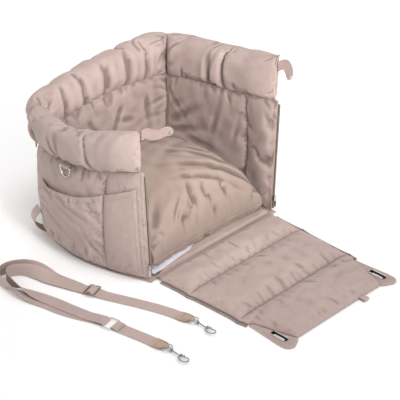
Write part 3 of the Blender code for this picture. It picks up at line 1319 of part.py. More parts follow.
def main():
    clear_scene()
    taupe = finish_material("taupe_shell_cloth", (0.52, 0.43, 0.38), 0.72)
    warm = finish_material("warm_cushion_cloth", (0.54, 0.44, 0.37), 0.75)
    white = finish_material("white_lining", (0.78, 0.77, 0.84), 0.55)
    card = finish_material("grey_base_board", (0.30, 0.29, 0.28), 0.85)
    web = finish_material("taupe_webbing", (0.50, 0.42, 0.38), 0.80)
    tan = finish_material("tan_strap_patch", (0.54, 0.42, 0.34), 0.70)
    zip_cloth = finish_material("brown_zip", (0.36, 0.29, 0.25), 0.60)
    steel = finish_material("polished_nickel", (0.72, 0.72, 0.72), 0.22, 1.0)
    dark_steel = finish_material("dark_steel", (0.42, 0.42, 0.42), 0.30, 1.0)

    build_base(taupe, card, white)
    for side in ("left", "back", "right"):
        build_wall(side, taupe)
        build_roll(side, taupe)
    flap = [build_flap(taupe), build_pull_loop(web)]
    for side, sign in (("left", -1), ("right", 1)):
        build_wall_zip(side, zip_cloth)
        build_slider(side, steel)
        build_pull(side, steel)
        flap.append(build_flap_zip(side, sign, zip_cloth))
        flap.append(build_ear(f"{side}_flap_ear", sign, taupe))
        flap.append(build_eyelet(f"{side}_flap_eyelet", sign, steel))
        build_tab(side, taupe, steel)
        build_belt_loop(side, web)
    hang_on("flap_hinge", (0.0, HINGE_Y, HINGE_Z), flap)
    build_cushion(warm)
    build_pocket(taupe)
    for name in RING_PLACES:
        build_ring(name, steel, web)
    strap = [build_long_webbing(web), build_short_webbing(web),
             bar_frame("strap_slide", SLIDE_PLACE, SLIDE_ALONG, True, SLIDE_LENGTH,
                       SLIDE_HEIGHT, steel),
             bar_frame("strap_ring", RING_PLACE, RING_ALONG, False, RING_LENGTH,
                       RING_HEIGHT, steel)]
    for end in ("upper", "lower"):
        strap.append(build_patch(end, tan))
        build_eye(end, steel)
        build_hook(end, dark_steel)
        build_gate(end, dark_steel)
    hang_on("strap_lift", (*RING_PLACE, FLOOR_LIFT), strap)


main()
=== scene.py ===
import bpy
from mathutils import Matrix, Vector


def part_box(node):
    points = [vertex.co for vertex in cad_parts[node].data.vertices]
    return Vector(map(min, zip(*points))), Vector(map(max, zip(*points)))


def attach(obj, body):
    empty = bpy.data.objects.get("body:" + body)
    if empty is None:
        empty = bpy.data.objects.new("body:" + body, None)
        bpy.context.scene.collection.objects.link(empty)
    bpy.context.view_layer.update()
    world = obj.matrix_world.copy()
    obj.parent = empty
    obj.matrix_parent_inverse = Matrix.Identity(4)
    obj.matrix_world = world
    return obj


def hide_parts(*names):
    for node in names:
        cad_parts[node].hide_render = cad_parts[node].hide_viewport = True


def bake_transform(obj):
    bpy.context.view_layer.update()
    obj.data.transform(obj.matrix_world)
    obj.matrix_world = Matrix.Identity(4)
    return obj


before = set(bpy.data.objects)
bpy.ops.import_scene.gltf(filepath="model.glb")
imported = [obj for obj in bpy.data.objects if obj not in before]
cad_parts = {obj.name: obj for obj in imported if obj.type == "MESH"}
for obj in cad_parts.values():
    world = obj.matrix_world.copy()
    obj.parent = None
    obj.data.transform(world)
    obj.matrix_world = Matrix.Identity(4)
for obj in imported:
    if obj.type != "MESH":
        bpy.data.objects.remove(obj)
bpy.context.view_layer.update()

import math

import bpy
import numpy as np
from mathutils import Vector

# Camera: a long lens from above the front left corner, as in the photograph. Its place was
# worked out from the tub's edges and the strap.
def set_all(target, **values):
    """Give several properties of an object their values."""
    for name, value in values.items():
        setattr(target, name, value)


def placed(name, data, back=None):
    """A new object in the scene, turned so that its +Z points along a direction."""
    made = bpy.data.objects.new(name, data)
    bpy.context.scene.collection.objects.link(made)
    if back is not None:
        made.rotation_euler = Vector(back).to_track_quat("Z", "Y").to_euler()
    return made


camera_turn, camera_lift, camera_away = math.radians(-45.92), math.radians(31.32), 3.986
camera_back = Vector((math.sin(camera_turn) * math.cos(camera_lift),
                      -math.cos(camera_turn) * math.cos(camera_lift), math.sin(camera_lift)))
camera = placed("photo_camera", bpy.data.cameras.new("photo_camera"), camera_back)
camera.location = Vector((-0.054, -0.194, 0.15)) + camera_back * camera_away
set_all(camera.data, lens=162, sensor_width=36)
bpy.context.scene.camera = camera
bpy.context.scene.view_settings.view_transform = "Standard"


# Studio: a white floor under a bright soft sky, with one large soft lamp far above the front
# and a narrow one that reaches into the tub. The camera sees the sky as plain white.
class Shade:
    """A socket of a material's node tree. Python arithmetic on it adds Math nodes."""

    def __init__(self, tree, socket=None):
        self.tree, self.socket = tree, socket

    def node(self, kind, settings=None, sockets=None, output=0):
        """Add a node, give it settings, link or set its sockets and return an output."""
        made = self.tree.nodes.new(kind)
        set_all(made, **(settings or {}))
        for name, value in (sockets or {}).items():
            if isinstance(value, Shade):
                value.into(made, name)
            else:
                made.inputs[name].default_value = value
        return Shade(self.tree, made.outputs[output])

    def into(self, node, name):
        """Link the socket to a node's input."""
        self.tree.links.new(self.socket, node.inputs[name])

    def also(self, output):
        """Another output of the same node."""
        return Shade(self.tree, self.socket.node.outputs[output])

    def math(self, operation, *others):
        """A Math node of this socket and others."""
        return self.node("ShaderNodeMath", {"operation": operation},
                         dict(enumerate((self, *others))))

    def __add__(self, other): return self.math("ADD", other)
    def __sub__(self, other): return self.math("SUBTRACT", other)
    def __mul__(self, other): return self.math("MULTIPLY", other)
    def __abs__(self): return self.math("ABSOLUTE")

    def limited(self, low=0.0, high=1.0):
        """The value kept between two others."""
        return self.math("MAXIMUM", low).math("MINIMUM", high)

    def noise(self, scale, detail=2.0, distortion=0.0):
        """A noise of about 0.5 at the place that the socket gives."""
        return self.node("ShaderNodeTexNoise", {},
                         {"Vector": self, "Scale": scale, "Detail": detail,
                          "Distortion": distortion}, "Fac")

    def blend(self, factor, low, high):
        """A colour between two others."""
        return self.node("ShaderNodeMix", {"data_type": "RGBA"},
                         {0: factor, 6: low, 7: high}, 2)

    def bump(self, strength):
        """A normal bent by the value, taken as a height in metres."""
        return self.node("ShaderNodeBump", {}, {"Height": self, "Strength": strength,
                                                "Distance": 1.0}, "Normal")


def new_finish(name, values):
    """A material, its shader with some sockets set, and the Shade of its tree."""
    finish = bpy.data.materials.new(name)
    finish.use_nodes = True
    shader = finish.node_tree.nodes["Principled BSDF"]
    for socket, value in values.items():
        shader.inputs[socket].default_value = value
    return finish, shader, Shade(finish.node_tree)


world = bpy.data.worlds.new("studio")
world.use_nodes = True
bpy.context.scene.world = world
sky = world.node_tree.nodes["Background"]
sky.inputs["Color"].default_value = (1.0, 1.0, 1.0, 1.0)
ray = Shade(world.node_tree).node("ShaderNodeLightPath", output="Is Camera Ray")
seen = ray + ray.also("Is Glossy Ray") + ray.also("Is Transmission Ray")
ray.node("ShaderNodeMapRange", {}, {"Value": seen, "To Min": 0.84, "To Max": 1.0}).into(
    sky, "Strength")
key = placed("key", bpy.data.lights.new("key", "SUN"), (-0.10, -0.60, 2.1))
set_all(key.data, energy=0.70, angle=math.radians(24))
inside_place = Vector((-0.35, -1.1, 0.85))
inside_light = placed("inside_light", bpy.data.lights.new("inside_light", "AREA"),
                      inside_place - Vector((0.1, 0.1, 0.2)))
set_all(inside_light.data, energy=1.6, size=0.5, spread=math.radians(45))
set_all(inside_light, location=inside_place, visible_camera=False)
sweep = bpy.data.meshes.new("floor")
sweep.from_pydata([(x, y, -0.0008) for x, y in ((-9, -9), (9, -9), (9, 9), (-9, 9))], [],
                  [(0, 1, 2, 3)])
sweep.materials.append(new_finish("floor_white", {
    "Base Color": (0.97, 0.97, 0.97, 1.0), "Roughness": 0.9, "Specular IOR Level": 0.0})[0])
placed("floor", sweep)


# Shoulder strap webbing: 30 mm flat woven tape. The long one runs from the first hook
# through the slide to the ring and back to the slide; the short one holds the second hook.
def linear(screen):
    """A screen colour from 0 to 255 as the linear colour that a shader takes."""
    screen = np.array(screen) / 255
    value = np.where(screen <= 0.04045, screen / 12.92, ((screen + 0.055) / 1.055) ** 2.4)
    return (*map(float, value), 1.0)


def cloth_finish(name, tones, pitch, weave_height=0.00012, crumple=0.0011, roughness=0.72,
                 sheen=0.30, twill=0.0):
    """Woven cloth of a dark, a middle and a light tone: crossing threads, mottled dye, crumples,
    painted shade in the creases and a lighter tone on the ridges."""
    finish, shader, tree = new_finish(name, {
        "Sheen Weight": sheen, "Sheen Roughness": 0.45, "Specular IOR Level": 0.25})
    dark, middle, light = map(linear, tones)
    spot = tree.node("ShaderNodeTexCoord", output="Object")
    threads = tree.node("ShaderNodeUVMap", {"uv_map": "threads"}, output="UV")
    over = tree.node("ShaderNodeSeparateXYZ", {}, {"Vector": threads}, "X")
    down = over.also("Y")
    turns = math.tau / pitch
    weave = ((over * turns).math("SINE") * (down * turns).math("SINE") * (1.0 - twill)
             + ((over + down) * turns).math("SINE") * twill) * 0.5 + 0.5
    crease = tree.node("ShaderNodeAttribute", {"attribute_name": "crease"}, output="Fac")
    broad, mottle, fine = spot.noise(7.0, 3.0, 0.4), spot.noise(55.0, 4.0, 0.6), spot.noise(900.0)
    tone = (broad - 0.5) * 0.9 + (mottle - 0.5) * 0.7 + (fine - 0.5) * 0.35 + 0.5
    colour = tree.blend(0.45, tree.blend(tone.limited(), dark, light), middle)
    # Painted shade: the colour turns towards a darker tone in the creases, and lighter on the
    # ridges.
    painted_crease_shade, lighter_on_ridges = (crease * -1.0).limited() * 0.75, crease.limited() * 0.35
    colour = tree.blend(painted_crease_shade, colour, (*(0.55 * c for c in dark[:3]), 1.0))
    colour = tree.blend(lighter_on_ridges, colour, light)
    tree.blend((weave - 0.5) * 0.18 + 0.09, colour, light).into(shader, "Base Color")
    rough = (mottle - 0.5) * 0.16 + (weave - 0.5) * 0.08 + roughness
    rough.limited(0.2, 1.0).into(shader, "Roughness")
    height = spot.noise(34.0, 4.0, 0.9) * crumple + weave * weave_height + fine * 0.00008
    height.bump(0.8).into(shader, "Normal")
    return finish


def grid_faces(index):
    """Quads between neighbouring entries of a grid of point numbers."""
    return np.stack([index[:-1, :-1], index[1:, :-1], index[1:, 1:], index[:-1, 1:]],
                    -1).reshape(-1, 4)


def vectors(items, name, size=3, kind=float):
    """An attribute of a mesh's vertices or edges, a row for each of them."""
    values = np.empty(len(items) * size, kind)
    items.foreach_get(name, values)
    return values.reshape(-1, size)


def mark_creases(mesh, depth):
    """An attribute that is below 0 in creases and above 0 on ridges: how far each point stands
    out of the average of the points around it, taken six times. The cloth's colour uses it for
    painted shade in the creases."""
    points, normals = (vectors(mesh.vertices, name) for name in ("co", "normal"))
    edges = vectors(mesh.edges, "vertices", 2, int)
    ends, others = np.concatenate([edges, edges[:, ::-1]]).T
    count = np.maximum(np.bincount(ends, minlength=len(points)), 1)[:, None]
    flat = points
    for _ in range(6):
        flat = np.stack([np.bincount(ends, flat[others, i], len(points))
                         for i in range(3)], 1) / count
    stands = np.sum((points - flat) * normals, 1) / depth
    crease = mesh.attributes.get("crease") or mesh.attributes.new("crease", "FLOAT", "POINT")
    crease.data.foreach_set("value", np.clip(stands, -1.0, 1.0).astype(np.float32))


def piece(name, points, faces, threads, finish, slot, body, replaces=()):
    """A closed smooth mesh with its faces outwards and thread coordinates in metres."""
    points = np.asarray(points, float)
    a, b, c, d = (points[faces[:, i]] for i in range(4))
    volume = np.sum(a * np.cross(b, c)) + np.sum(a * np.cross(c, d))
    faces = faces if volume > 0 else faces[:, ::-1]
    mesh = bpy.data.meshes.new(name)
    mesh.from_pydata(points.tolist(), [], faces.tolist())
    mesh.shade_smooth()
    layer = mesh.uv_layers.new(name="threads")
    layer.data.foreach_set("uv", np.asarray(threads, float)[faces.ravel()].ravel())
    mark_creases(mesh, 0.0012)
    mesh.materials.append(finish)
    obj = placed(name, mesh)
    if body:
        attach(obj, body)
    if replaces:
        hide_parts(*replaces)
    return obj


def unit(ways):
    """Directions of length 1."""
    ways = np.asarray(ways, float)
    return ways / np.linalg.norm(ways, axis=-1, keepdims=True)


def lengths(line):
    """Distance of each point of a line from its first point, along the line."""
    steps = np.linalg.norm(np.diff(line, axis=0), axis=1)
    return np.concatenate([[0.0], np.cumsum(steps)])


def carried(name, path, across, section, finish, slot, body, replaces=(), closed=False):
    """A closed section carried along a path: each ring is the path's point plus the
    section's first number along 'across' and its second along the surface's normal."""
    path = np.asarray(path, float)
    along = unit(np.roll(path, -1, 0) - np.roll(path, 1, 0) if closed
                 else np.gradient(path, axis=0))
    across = np.broadcast_to(np.asarray(across, float), path.shape)
    across = unit(across - along * np.sum(across * along, 1, keepdims=True))
    lift = np.cross(along, across)
    section = np.broadcast_to(np.asarray(section, float), (len(path), *np.shape(section)[-2:]))
    rings = path[:, None] + section[..., :1] * across[:, None] + section[..., 1:] * lift[:, None]
    sides = rings.shape[1]
    index = np.arange(rings.shape[0] * sides).reshape(-1, sides)
    index = np.concatenate([index, index[:, :1]], 1)
    girth = np.cumsum(np.linalg.norm(np.diff(section[0], axis=0, prepend=section[0][-1:]),
                                     axis=1))
    threads = np.stack(np.broadcast_arrays(lengths(path)[:, None], girth[None]), -1)
    if closed:
        faces = grid_faces(np.concatenate([index, index[:1]]))
    else:
        strip = np.arange(sides // 2)
        ends = []
        for ring, flip in ((0, 1), (len(rings) - 1, -1)):
            left, right = index[ring, strip], index[ring, sides - 1 - strip]
            quads = np.stack([left[:-1], left[1:], right[1:], right[:-1]], 1)
            ends.append(quads[:, ::flip])
        faces = np.concatenate([grid_faces(index), *ends])
    return piece(name, rings.reshape(-1, 3), faces, threads.reshape(-1, 2), finish, slot, body,
                 replaces)


def through(values, share):
    """Catmull-Rom curve through evenly spaced values, read at shares from 0 to 1."""
    values = np.asarray(values, float)
    place = np.clip(np.asarray(share, float), 0.0, 1.0) * (len(values) - 1)
    i = np.minimum(place.astype(int), len(values) - 2)
    t = place - i
    t = t[..., None] if values.ndim > 1 else t
    padded = np.concatenate([[2 * values[0] - values[1]], values, [2 * values[-1] - values[-2]]])
    p0, p1, p2, p3 = padded[i], padded[i + 1], padded[i + 2], padded[i + 3]
    return 0.5 * (2 * p1 + (p2 - p0) * t + (2 * p0 - 5 * p1 + 4 * p2 - p3) * t ** 2
                  + (3 * p1 - p0 - 3 * p2 + p3) * t ** 3)


webbing_width, webbing_thick, floor_lift, gap = 0.030, 0.0018, 0.0005, 0.0003
layer_step = webbing_thick + 2 * gap
under_z = floor_lift + webbing_thick / 2
wire = 0.0013
wrap = wire + gap + webbing_thick / 2
slide_place, ring_place = np.array([-0.3210, -0.1240]), np.array([-0.3775, -0.2420])
slide_along = np.array([-0.0090, 0.0260, 0.0]) / math.hypot(0.0090, 0.0260)
ring_along = np.array([0.0130, -0.0620, 0.0]) / math.hypot(0.0130, 0.0620)
slide_z = under_z + layer_step + webbing_thick / 2 + gap + wire
slide_length, ring_length = 0.024, 0.022
hook_route = ((-.2530, -.3230, 0), (-.2566, -.3030, 0), (-.2680, -.2640, 0),
              (-.2870, -.2130, 0), (-.3050, -.1690, 0), (-.3143, -.1433, 0))
loop_route = ((-.3277, -.1047, 0), (-.3350, -.0850, 0), (-.3470, -.0500, 0),
              (-.3560, -.0220, -14), (-.3650, .0030, -50), (-.3780, .0300, -80),
              (-.3940, .0470, -90), (-.4120, .0510, -90), (-.4260, .0390, -90),
              (-.4320, .0150, -80), (-.4280, -.0130, -45), (-.4200, -.0440, -12),
              (-.4090, -.0850, 0), (-.4010, -.1350, 0), (-.3920, -.1850, 0))
under_route = ((-.3900, -.1960, 0), (-.4030, -.1640, 0), (-.4150, -.1250, 0),
               (-.4230, -.0820, 0), (-.4340, -.0440, 10), (-.4420, -.0080, 45),
               (-.4460, .0230, 82), (-.4390, .0520, 90), (-.4180, .0670, 90),
               (-.3900, .0640, 90), (-.3660, .0450, 80), (-.3510, .0130, 45),
               (-.3430, -.0180, 8), (-.3350, -.0480, 0), (-.3280, -.0850, 0))


def route(table, base):
    """Points and width directions of a stretch of webbing, from x, y and tilt in degrees."""
    table = np.array(table, float)
    fine = through(table, np.linspace(0.0, 1.0, 2 * len(table) - 1))
    along = unit(np.gradient(fine[:, :2], axis=0))
    tilt = np.radians(np.clip(fine[:, 2], -90.0, 90.0))
    widths = np.column_stack([-along[:, 1] * np.cos(tilt), along[:, 0] * np.cos(tilt),
                              np.sin(tilt)])
    rise = (webbing_width * np.abs(np.sin(tilt)) + webbing_thick * np.cos(tilt)) / 2
    return np.column_stack([fine[:, :2], floor_lift + rise + base * np.cos(tilt)]), widths


def level_side(along):
    """The level direction at a quarter turn to the left of another."""
    return np.array([-along[1], along[0], 0.0])


def half_turn(bar, start, first, last):
    """Webbing round a level bar between two angles, 90 degrees being the top."""
    return [bar + start * wrap * math.cos(a) + np.array([0.0, 0.0, wrap * math.sin(a)])
            for a in np.radians(np.linspace(first, last, 7))]


def oval(width, thick, sides=32):
    """Section of a flat tape or sheet with soft edges."""
    turn = np.linspace(0, math.tau, sides, endpoint=False)
    return np.stack([np.sign(np.cos(turn)) * np.abs(np.cos(turn)) ** 0.35 * width / 2,
                     np.sign(np.sin(turn)) * np.abs(np.sin(turn)) ** 0.5 * thick / 2], 1)


def finer(line, spacing, *others):
    """A line's points, and what goes with them, again at an even spacing."""
    steps = lengths(line)
    places = np.linspace(0.0, steps[-1], max(int(steps[-1] / spacing), 4) + 1)
    return [np.stack([np.interp(places, steps, np.array(values)[:, i])
                      for i in range(np.shape(values)[1])], 1) for values in (line, *others)]


def tape(name, path, widths, body, replaces, width=webbing_width, spacing=0.0015):
    """Webbing along a path, made finer with a smooth curve. Returns its middle line too."""
    path, widths = finer(path, spacing, np.broadcast_to(widths, np.shape(path)))
    kernel = np.array([1, 2, 3, 4, 3, 2, 1]) / 16
    path[3:-3] = np.stack([np.convolve(path[:, i], kernel, "valid") for i in range(3)], 1)
    return carried(name, path, widths, oval(width, webbing_thick), web_finish, "webbing", body,
                   [replaces]), path


web_finish = cloth_finish("strap_webbing", ((158, 137, 132), (180, 159, 153), (199, 179, 172)),
                          0.0016, 0.0003, 0.0002, 0.8, 0.2, twill=0.6)
slide_side, ring_side = level_side(slide_along), level_side(ring_along)
first, first_widths = route(hook_route, 0.0)
first[-1, 2] = under_z + layer_step / 2
crossing_low, crossing_top = under_z + layer_step, slide_z + 2 * wrap
half_slide = slide_length / 2
crossing = [np.array([*slide_place, z]) + slide_along * step for step, z in (
    (-half_slide - 2 * wire, crossing_low), (-half_slide + wire, crossing_low),
    (-wrap, crossing_top - wire), (0.0, crossing_top), (wrap, crossing_top - wire),
    (half_slide - wire, crossing_low), (half_slide + 2 * wire, crossing_low))]
upper, upper_widths = route(loop_route, layer_step)
under, under_widths = route(under_route, 0.0)
ring_z = under_z + wrap
near_bar = np.array([*ring_place, ring_z]) - ring_along * ring_length / 2
far_bar = np.array([*ring_place, ring_z]) + ring_along * ring_length / 2
slide_bar = np.array([*slide_place, slide_z])
ring_turn = half_turn(near_bar, ring_along, 90, -90)
ring_turn = [ring_turn[0] - ring_along * ring_length / 2, *ring_turn,
             ring_turn[-1] - ring_along * ring_length / 2]
slide_turn = [np.array([*slide_place, under_z]) + slide_along * slide_length * share
              for share in (0.8, 0.4)] + half_turn(slide_bar, -slide_along, -90, 80)
long_path = np.array([*first, *crossing, *upper, *ring_turn, *under, *slide_turn])
long_widths = np.array([*first_widths, *[slide_side] * len(crossing), *upper_widths,
                        *[ring_side] * len(ring_turn), *-under_widths,
                        *[slide_side] * len(slide_turn)])
strap_long, long_line = tape("strap_webbing_long_cloth", long_path, long_widths,
                             "shoulder_strap", "strap_webbing_long")
strap_ends = {"upper": np.array([(-0.2530, -0.3230), (-0.2462, -0.3620)]),
              "lower": np.array([(-0.3590, -0.3520), (-0.3550, -0.3918)])}
patch_length = 0.040
far_turn = half_turn(far_bar, -ring_along, 90, -90)
low_root, low_nose = strap_ends["lower"]
low_ahead = unit(low_nose - low_root)
before = low_root - low_ahead * patch_length / 2
tail = far_turn[0] + ring_along * 0.018
tail[2] = under_z + layer_step
low = through([far_turn[-1][:2], (far_turn[-1][:2] + before) / 2, before, low_root],
              np.linspace(0.0, 1.0, 10))
low = np.column_stack([low, np.full(len(low), under_z)])
low_steps = np.gradient(low, axis=0)
short_path = np.array([tail, tail - ring_along * 0.006, *far_turn, *low[1:]])
short_widths = np.array([ring_side] * (len(far_turn) + 2)
                        + [level_side(step) for step in unit(low_steps[1:])])
tape("strap_webbing_short_cloth", short_path, short_widths, "shoulder_strap",
     "strap_webbing_short")


# Strap end patches: tan cloth folded round each hook's eye bar and sewn down with a row of
# thread near its edge. Each narrows to a nose at the hook.
def blocks(name, centres, along, up, size, finish, slot, body):
    """One piece of many small blocks with tapered ends: each has its length, width and
    height along a direction, across it and up."""
    centres = np.asarray(centres, float)
    along, up = (unit(np.broadcast_to(way, centres.shape)) for way in (along, up))
    across = unit(np.cross(up, along))
    up = np.cross(along, across)
    shape = np.array([(x, y * taper, z * taper)
                      for x, taper in ((-0.5, 0.5), (-0.3, 1.0), (0.3, 1.0), (0.5, 0.5))
                      for y, z in ((-0.5, -0.5), (0.5, -0.5), (0.5, 0.5), (-0.5, 0.5))]) * size
    points = (centres[:, None] + along[:, None] * shape[:, :1] + across[:, None] * shape[:, 1:2]
              + up[:, None] * shape[:, 2:])
    index = np.arange(16).reshape(4, 4)
    faces = np.concatenate([grid_faces(np.concatenate([index, index[:, :1]], 1)),
                            [[0, 1, 2, 3], [15, 14, 13, 12]]])
    faces = (faces + 16 * np.arange(len(centres))[:, None, None]).reshape(-1, 4)
    threads = np.tile(shape[:, :2], (len(centres), 1))
    return piece(name, points.reshape(-1, 3), faces, threads, finish, slot, body)


def stitches(name, line, up, slot="shell_cloth", body="tub", pitch=0.0038):
    """A row of thread stitches along a line, pressed a little into the cloth."""
    centres, up = finer(line, pitch, np.broadcast_to(np.asarray(up, float), np.shape(line)))
    ahead = np.gradient(centres, axis=0)
    blocks(name, centres[1:-1] + unit(up[1:-1]) * 0.0001, ahead[1:-1], up[1:-1],
           (0.72 * pitch, thread_thick, thread_thick), thread, slot, body)


thread_thick = 0.0008
thread = cloth_finish("sewing_thread", ((128, 108, 100), (150, 130, 121), (172, 152, 143)),
                      0.0006, 0.0001, 0.0, 0.6, 0.3, twill=1.0)
tan = cloth_finish("tan_patch_cloth", ((148, 124, 106), (173, 148, 130), (202, 178, 160)),
                   0.0009, 0.00022, 0.0004, 0.82, 0.25, twill=0.3)
hook_z, patch_bend, patch_half, upwards = 0.0062, 0.0022, 0.0155, np.array([0.0, 0.0, 1.0])
for end, (root, nose) in strap_ends.items():
    ahead = np.append(unit(nose - root), 0.0)
    side = level_side(ahead)
    root = np.append(root, 0.0) + ahead * 0.0008
    reach = np.linalg.norm(np.append(nose, 0.0) - root)
    turn = np.radians(np.linspace(90, -90, 13))
    upper_run = [(share * reach, z) for share, z in (
        (0.0, .0036), (.25, .0037), (.55, .0043), (.76, .0062))]
    round_bar = np.stack([reach - 0.0036 + patch_bend * np.cos(turn),
                          hook_z + patch_bend * np.sin(turn)], 1)
    lower_run = [(.76 * reach, .0031), (.55 * reach, .0022), (.25 * reach, .0016), (0.0, .0015)]
    run = through(np.array([*upper_run, *round_bar, *lower_run]), np.linspace(0, 1, 90))
    half = np.interp(run[:, 0] / reach, (0, .12, .56, .72, .84, .93, 1),
                     np.array((1, 1, .98, .84, .62, .54, .52)) * patch_half)
    half = half - 0.0012 * np.exp(-run[:, 0] / 0.002)
    thick = 0.0012 + 0.0006 * np.clip(1 - run[:, 0] / (0.6 * reach), 0, 1)
    section = oval(2.0, 2.0, 28) * np.stack([half, thick / 2], 1)[:, None]
    path = root + ahead * run[:, :1] + upwards * run[:, 1:]
    carried(f"strap_patch_{end}_cloth", path, side, section, tan, "strap_patch",
            "shoulder_strap", [f"strap_patch_{end}"])
    top = run[:, 0].argmax() - 8
    line = path[:top] + upwards * (0.0005 + 0.5 * thick[:top, None])
    inset = side * (half[:top, None] - 0.0028)
    border = np.concatenate([(line + inset)[5:][::-1], (line - inset)[5:]])
    stitches(f"strap_patch_{end}_stitches", border, upwards, "strap_patch", "shoulder_strap",
             0.0030)


# Slide, ring and hook eyes: bent round wire, its ends butted, in bright nickel except the slide,
# which is a darker antique metal. The slide has a bar across its middle that the webbing turns
# round.
def metal_finish(name, tones, roughness, painted_slot_shade=None):
    """Plated wire or casting: soft tarnish, fine scratches and brighter rubbed spots, and painted
    shade: near black where the distance across from the object's middle is within a slot's
    (centre, half), standing in for the shadow inside the slot."""
    finish, shader, tree = new_finish(name, {"Metallic": 1.0})
    base, light = map(linear, tones)
    spot = tree.node("ShaderNodeTexCoord", output="Object")
    broad, fine = spot.noise(60.0, 3.0, 0.5), spot.noise(700.0, 3.0, 1.5)
    colour = tree.blend(((broad - 0.5) * 1.4 + (fine - 0.5) * 0.5 + 0.5).limited(), base, light)
    if painted_slot_shade:
        across = tree.node("ShaderNodeSeparateXYZ", {}, {"Vector": spot}, 0)
        outside = (abs(abs(across) - painted_slot_shade[0]) - painted_slot_shade[1]).math("GREATER_THAN", 0.0)
        # Painted shade: the slot's inner wall is coloured near black, standing in for the shadow
        # inside the slot.
        colour = tree.blend(outside, (0.012, 0.010, 0.009, 1.0), colour)
    colour.into(shader, "Base Color")
    rough = (broad - 0.5) * 0.18 + (fine - 0.5) * 0.16 + roughness
    rough.limited(0.05, 1.0).into(shader, "Roughness")
    (fine * 0.00003 + broad * 0.00006).bump(0.6).into(shader, "Normal")
    return finish


def plated(names, finish):
    """Give pieces of the CAD their metal, with softened edges."""
    for name in names:
        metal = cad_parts[name]
        metal.material_slots[0].material = finish
        set_all(metal.modifiers.new("soft_edge", "BEVEL"), width=0.00018, segments=2,
                angle_limit=math.radians(35))


def round_corners(corners, radius, steps=7):
    """Points of a closed polygon whose corners are rounded."""
    corners = np.asarray(corners, float)
    before, after = np.roll(corners, 1, 0), np.roll(corners, -1, 0)
    t = np.linspace(0, 1, steps)[:, None, None]
    start, stop = (corners + unit(other - corners) * radius for other in (before, after))
    bend = start * (1 - t) ** 2 + corners * 2 * t * (1 - t) + stop * t ** 2
    return bend.transpose(1, 0, 2).reshape(-1, 3)


def round_bar_section(radius, sides=16):
    """Section of round wire."""
    turn = np.linspace(0, math.tau, sides, endpoint=False)
    return np.stack([np.cos(turn), np.sin(turn)], 1) * radius


bright = (176, 176, 174), (226, 226, 224)
nickel = metal_finish("bright_nickel", bright, 0.24)
antique = metal_finish("antique_slide", ((112, 100, 92), (168, 154, 145)), 0.36)
dark_steel = metal_finish("dark_steel", ((120, 120, 122), (176, 176, 178)), 0.30)
half_bar = webbing_width / 2 + 0.0034
for name, place, along, length, z in (
        ("strap_slide", slide_place, slide_along, slide_length, slide_z),
        ("strap_ring", ring_place, ring_along, ring_length, ring_z)):
    side, centre = level_side(along), np.array([*place, z])
    corners = [centre + side * half_bar * a + along * length / 2 * b
               for a, b in ((-1, -1), (1, -1), (1, 1), (-1, 1))]
    carried(name + "_wire", round_corners(corners, 0.003), (0, 0, 1), round_bar_section(wire),
            antique if name == "strap_slide" else nickel, "nickel", "shoulder_strap", [name],
            closed=True)
middle_bar = np.array([*slide_place, slide_z]) + slide_side * np.linspace(
    -half_bar, half_bar, 9)[:, None]
carried("strap_slide_bar", middle_bar, (0, 0, 1), round_bar_section(wire * 0.98), antique,
        "nickel", "shoulder_strap")
plated(["hook_eye_upper", "hook_eye_lower"], nickel)
plated([f"{kind}_{end}" for kind in ("snap_hook", "hook_gate") for end in strap_ends], dark_steel)

# Two rows of thread close the short webbing's end. The long webbing is the free cord: it
# starts at the upper hook and ends in the slide.
for name, back in (("strap_tail_stitches", 0.0), ("strap_tail_stitches_2", 0.004)):
    row = tail - ring_along * back + upwards * 0.0009
    stitches(name, [row + ring_side * 0.0125, row - ring_side * 0.0125], upwards, "webbing",
             "shoulder_strap", 0.0030)

# Side and back walls: taupe nylon over fibre fill, sewn shut along their edges, with a
# stitched strip down the front of each side wall. They share one plan with all that is
# sewn to them.
taupe = cloth_finish("taupe_shell_cloth", ((142, 121, 114), (169, 148, 141), (190, 171, 164)),
                     0.0012, sheen=0.12)
wall_bottom, seat_gap, facing_width, wall_front_y = 0.0033, 0.0008, 0.098, -0.181
wall_full, roll_full_tall = 0.034, 0.104


def bell(distance, width):
    """1 at a distance of 0, with soft shoulders, near 0 at twice the width."""
    return np.exp(-(distance / width) ** 2)


def ramp(value, first, last):
    """0 up to the first value, 1 from the last one on and straight between them."""
    return np.clip((value - first) / (last - first), 0.0, 1.0)


def smoothstep(share):
    """A share from 0 to 1, changed to start and stop gently."""
    return share * share * (3 - 2 * share)


def plan_curve(side, top):
    """Fine points of one third of a rounded U at the base or at the walls' top."""
    front_half, back_half, back_y, bulge_left, bulge_right = (
        (0.214, 0.214, 0.186, 0.016, 0.004) if top else (0.200, 0.203, 0.184, 0.044, 0.014))
    first, last = {"left": (1.0, 0.75), "back": (0.75, 0.25), "right": (0.0, 0.25)}[side]
    turn = np.linspace(first * math.pi, last * math.pi, 2400)
    square = np.where(np.cos(turn) < 0, 8.5, 9.0)
    reach = (np.abs(np.cos(turn)) ** square + np.abs(np.sin(turn)) ** square) ** (-1 / square)
    x_share, y_share = reach * np.cos(turn), reach * np.sin(turn)
    bulge = np.where(x_share < 0, bulge_left, bulge_right) * np.sin(math.pi * y_share)
    x = x_share * (front_half + (back_half - front_half) * y_share + bulge)
    y = (wall_front_y + (back_y - wall_front_y) * y_share
         + 0.006 * y_share * (1 - x_share ** 2))
    return np.stack([x, y], 1)


def along_curve(curve, share):
    """Points and directions at shares of a curve's length, and that length."""
    run = lengths(curve)
    places = np.asarray(share, float) * run[-1]
    points, slopes = (np.stack([np.interp(places, run, line[:, i]) for i in range(2)], -1)
                      for line in (curve, np.gradient(curve, run, axis=0)))
    return points, unit(slopes), run[-1]


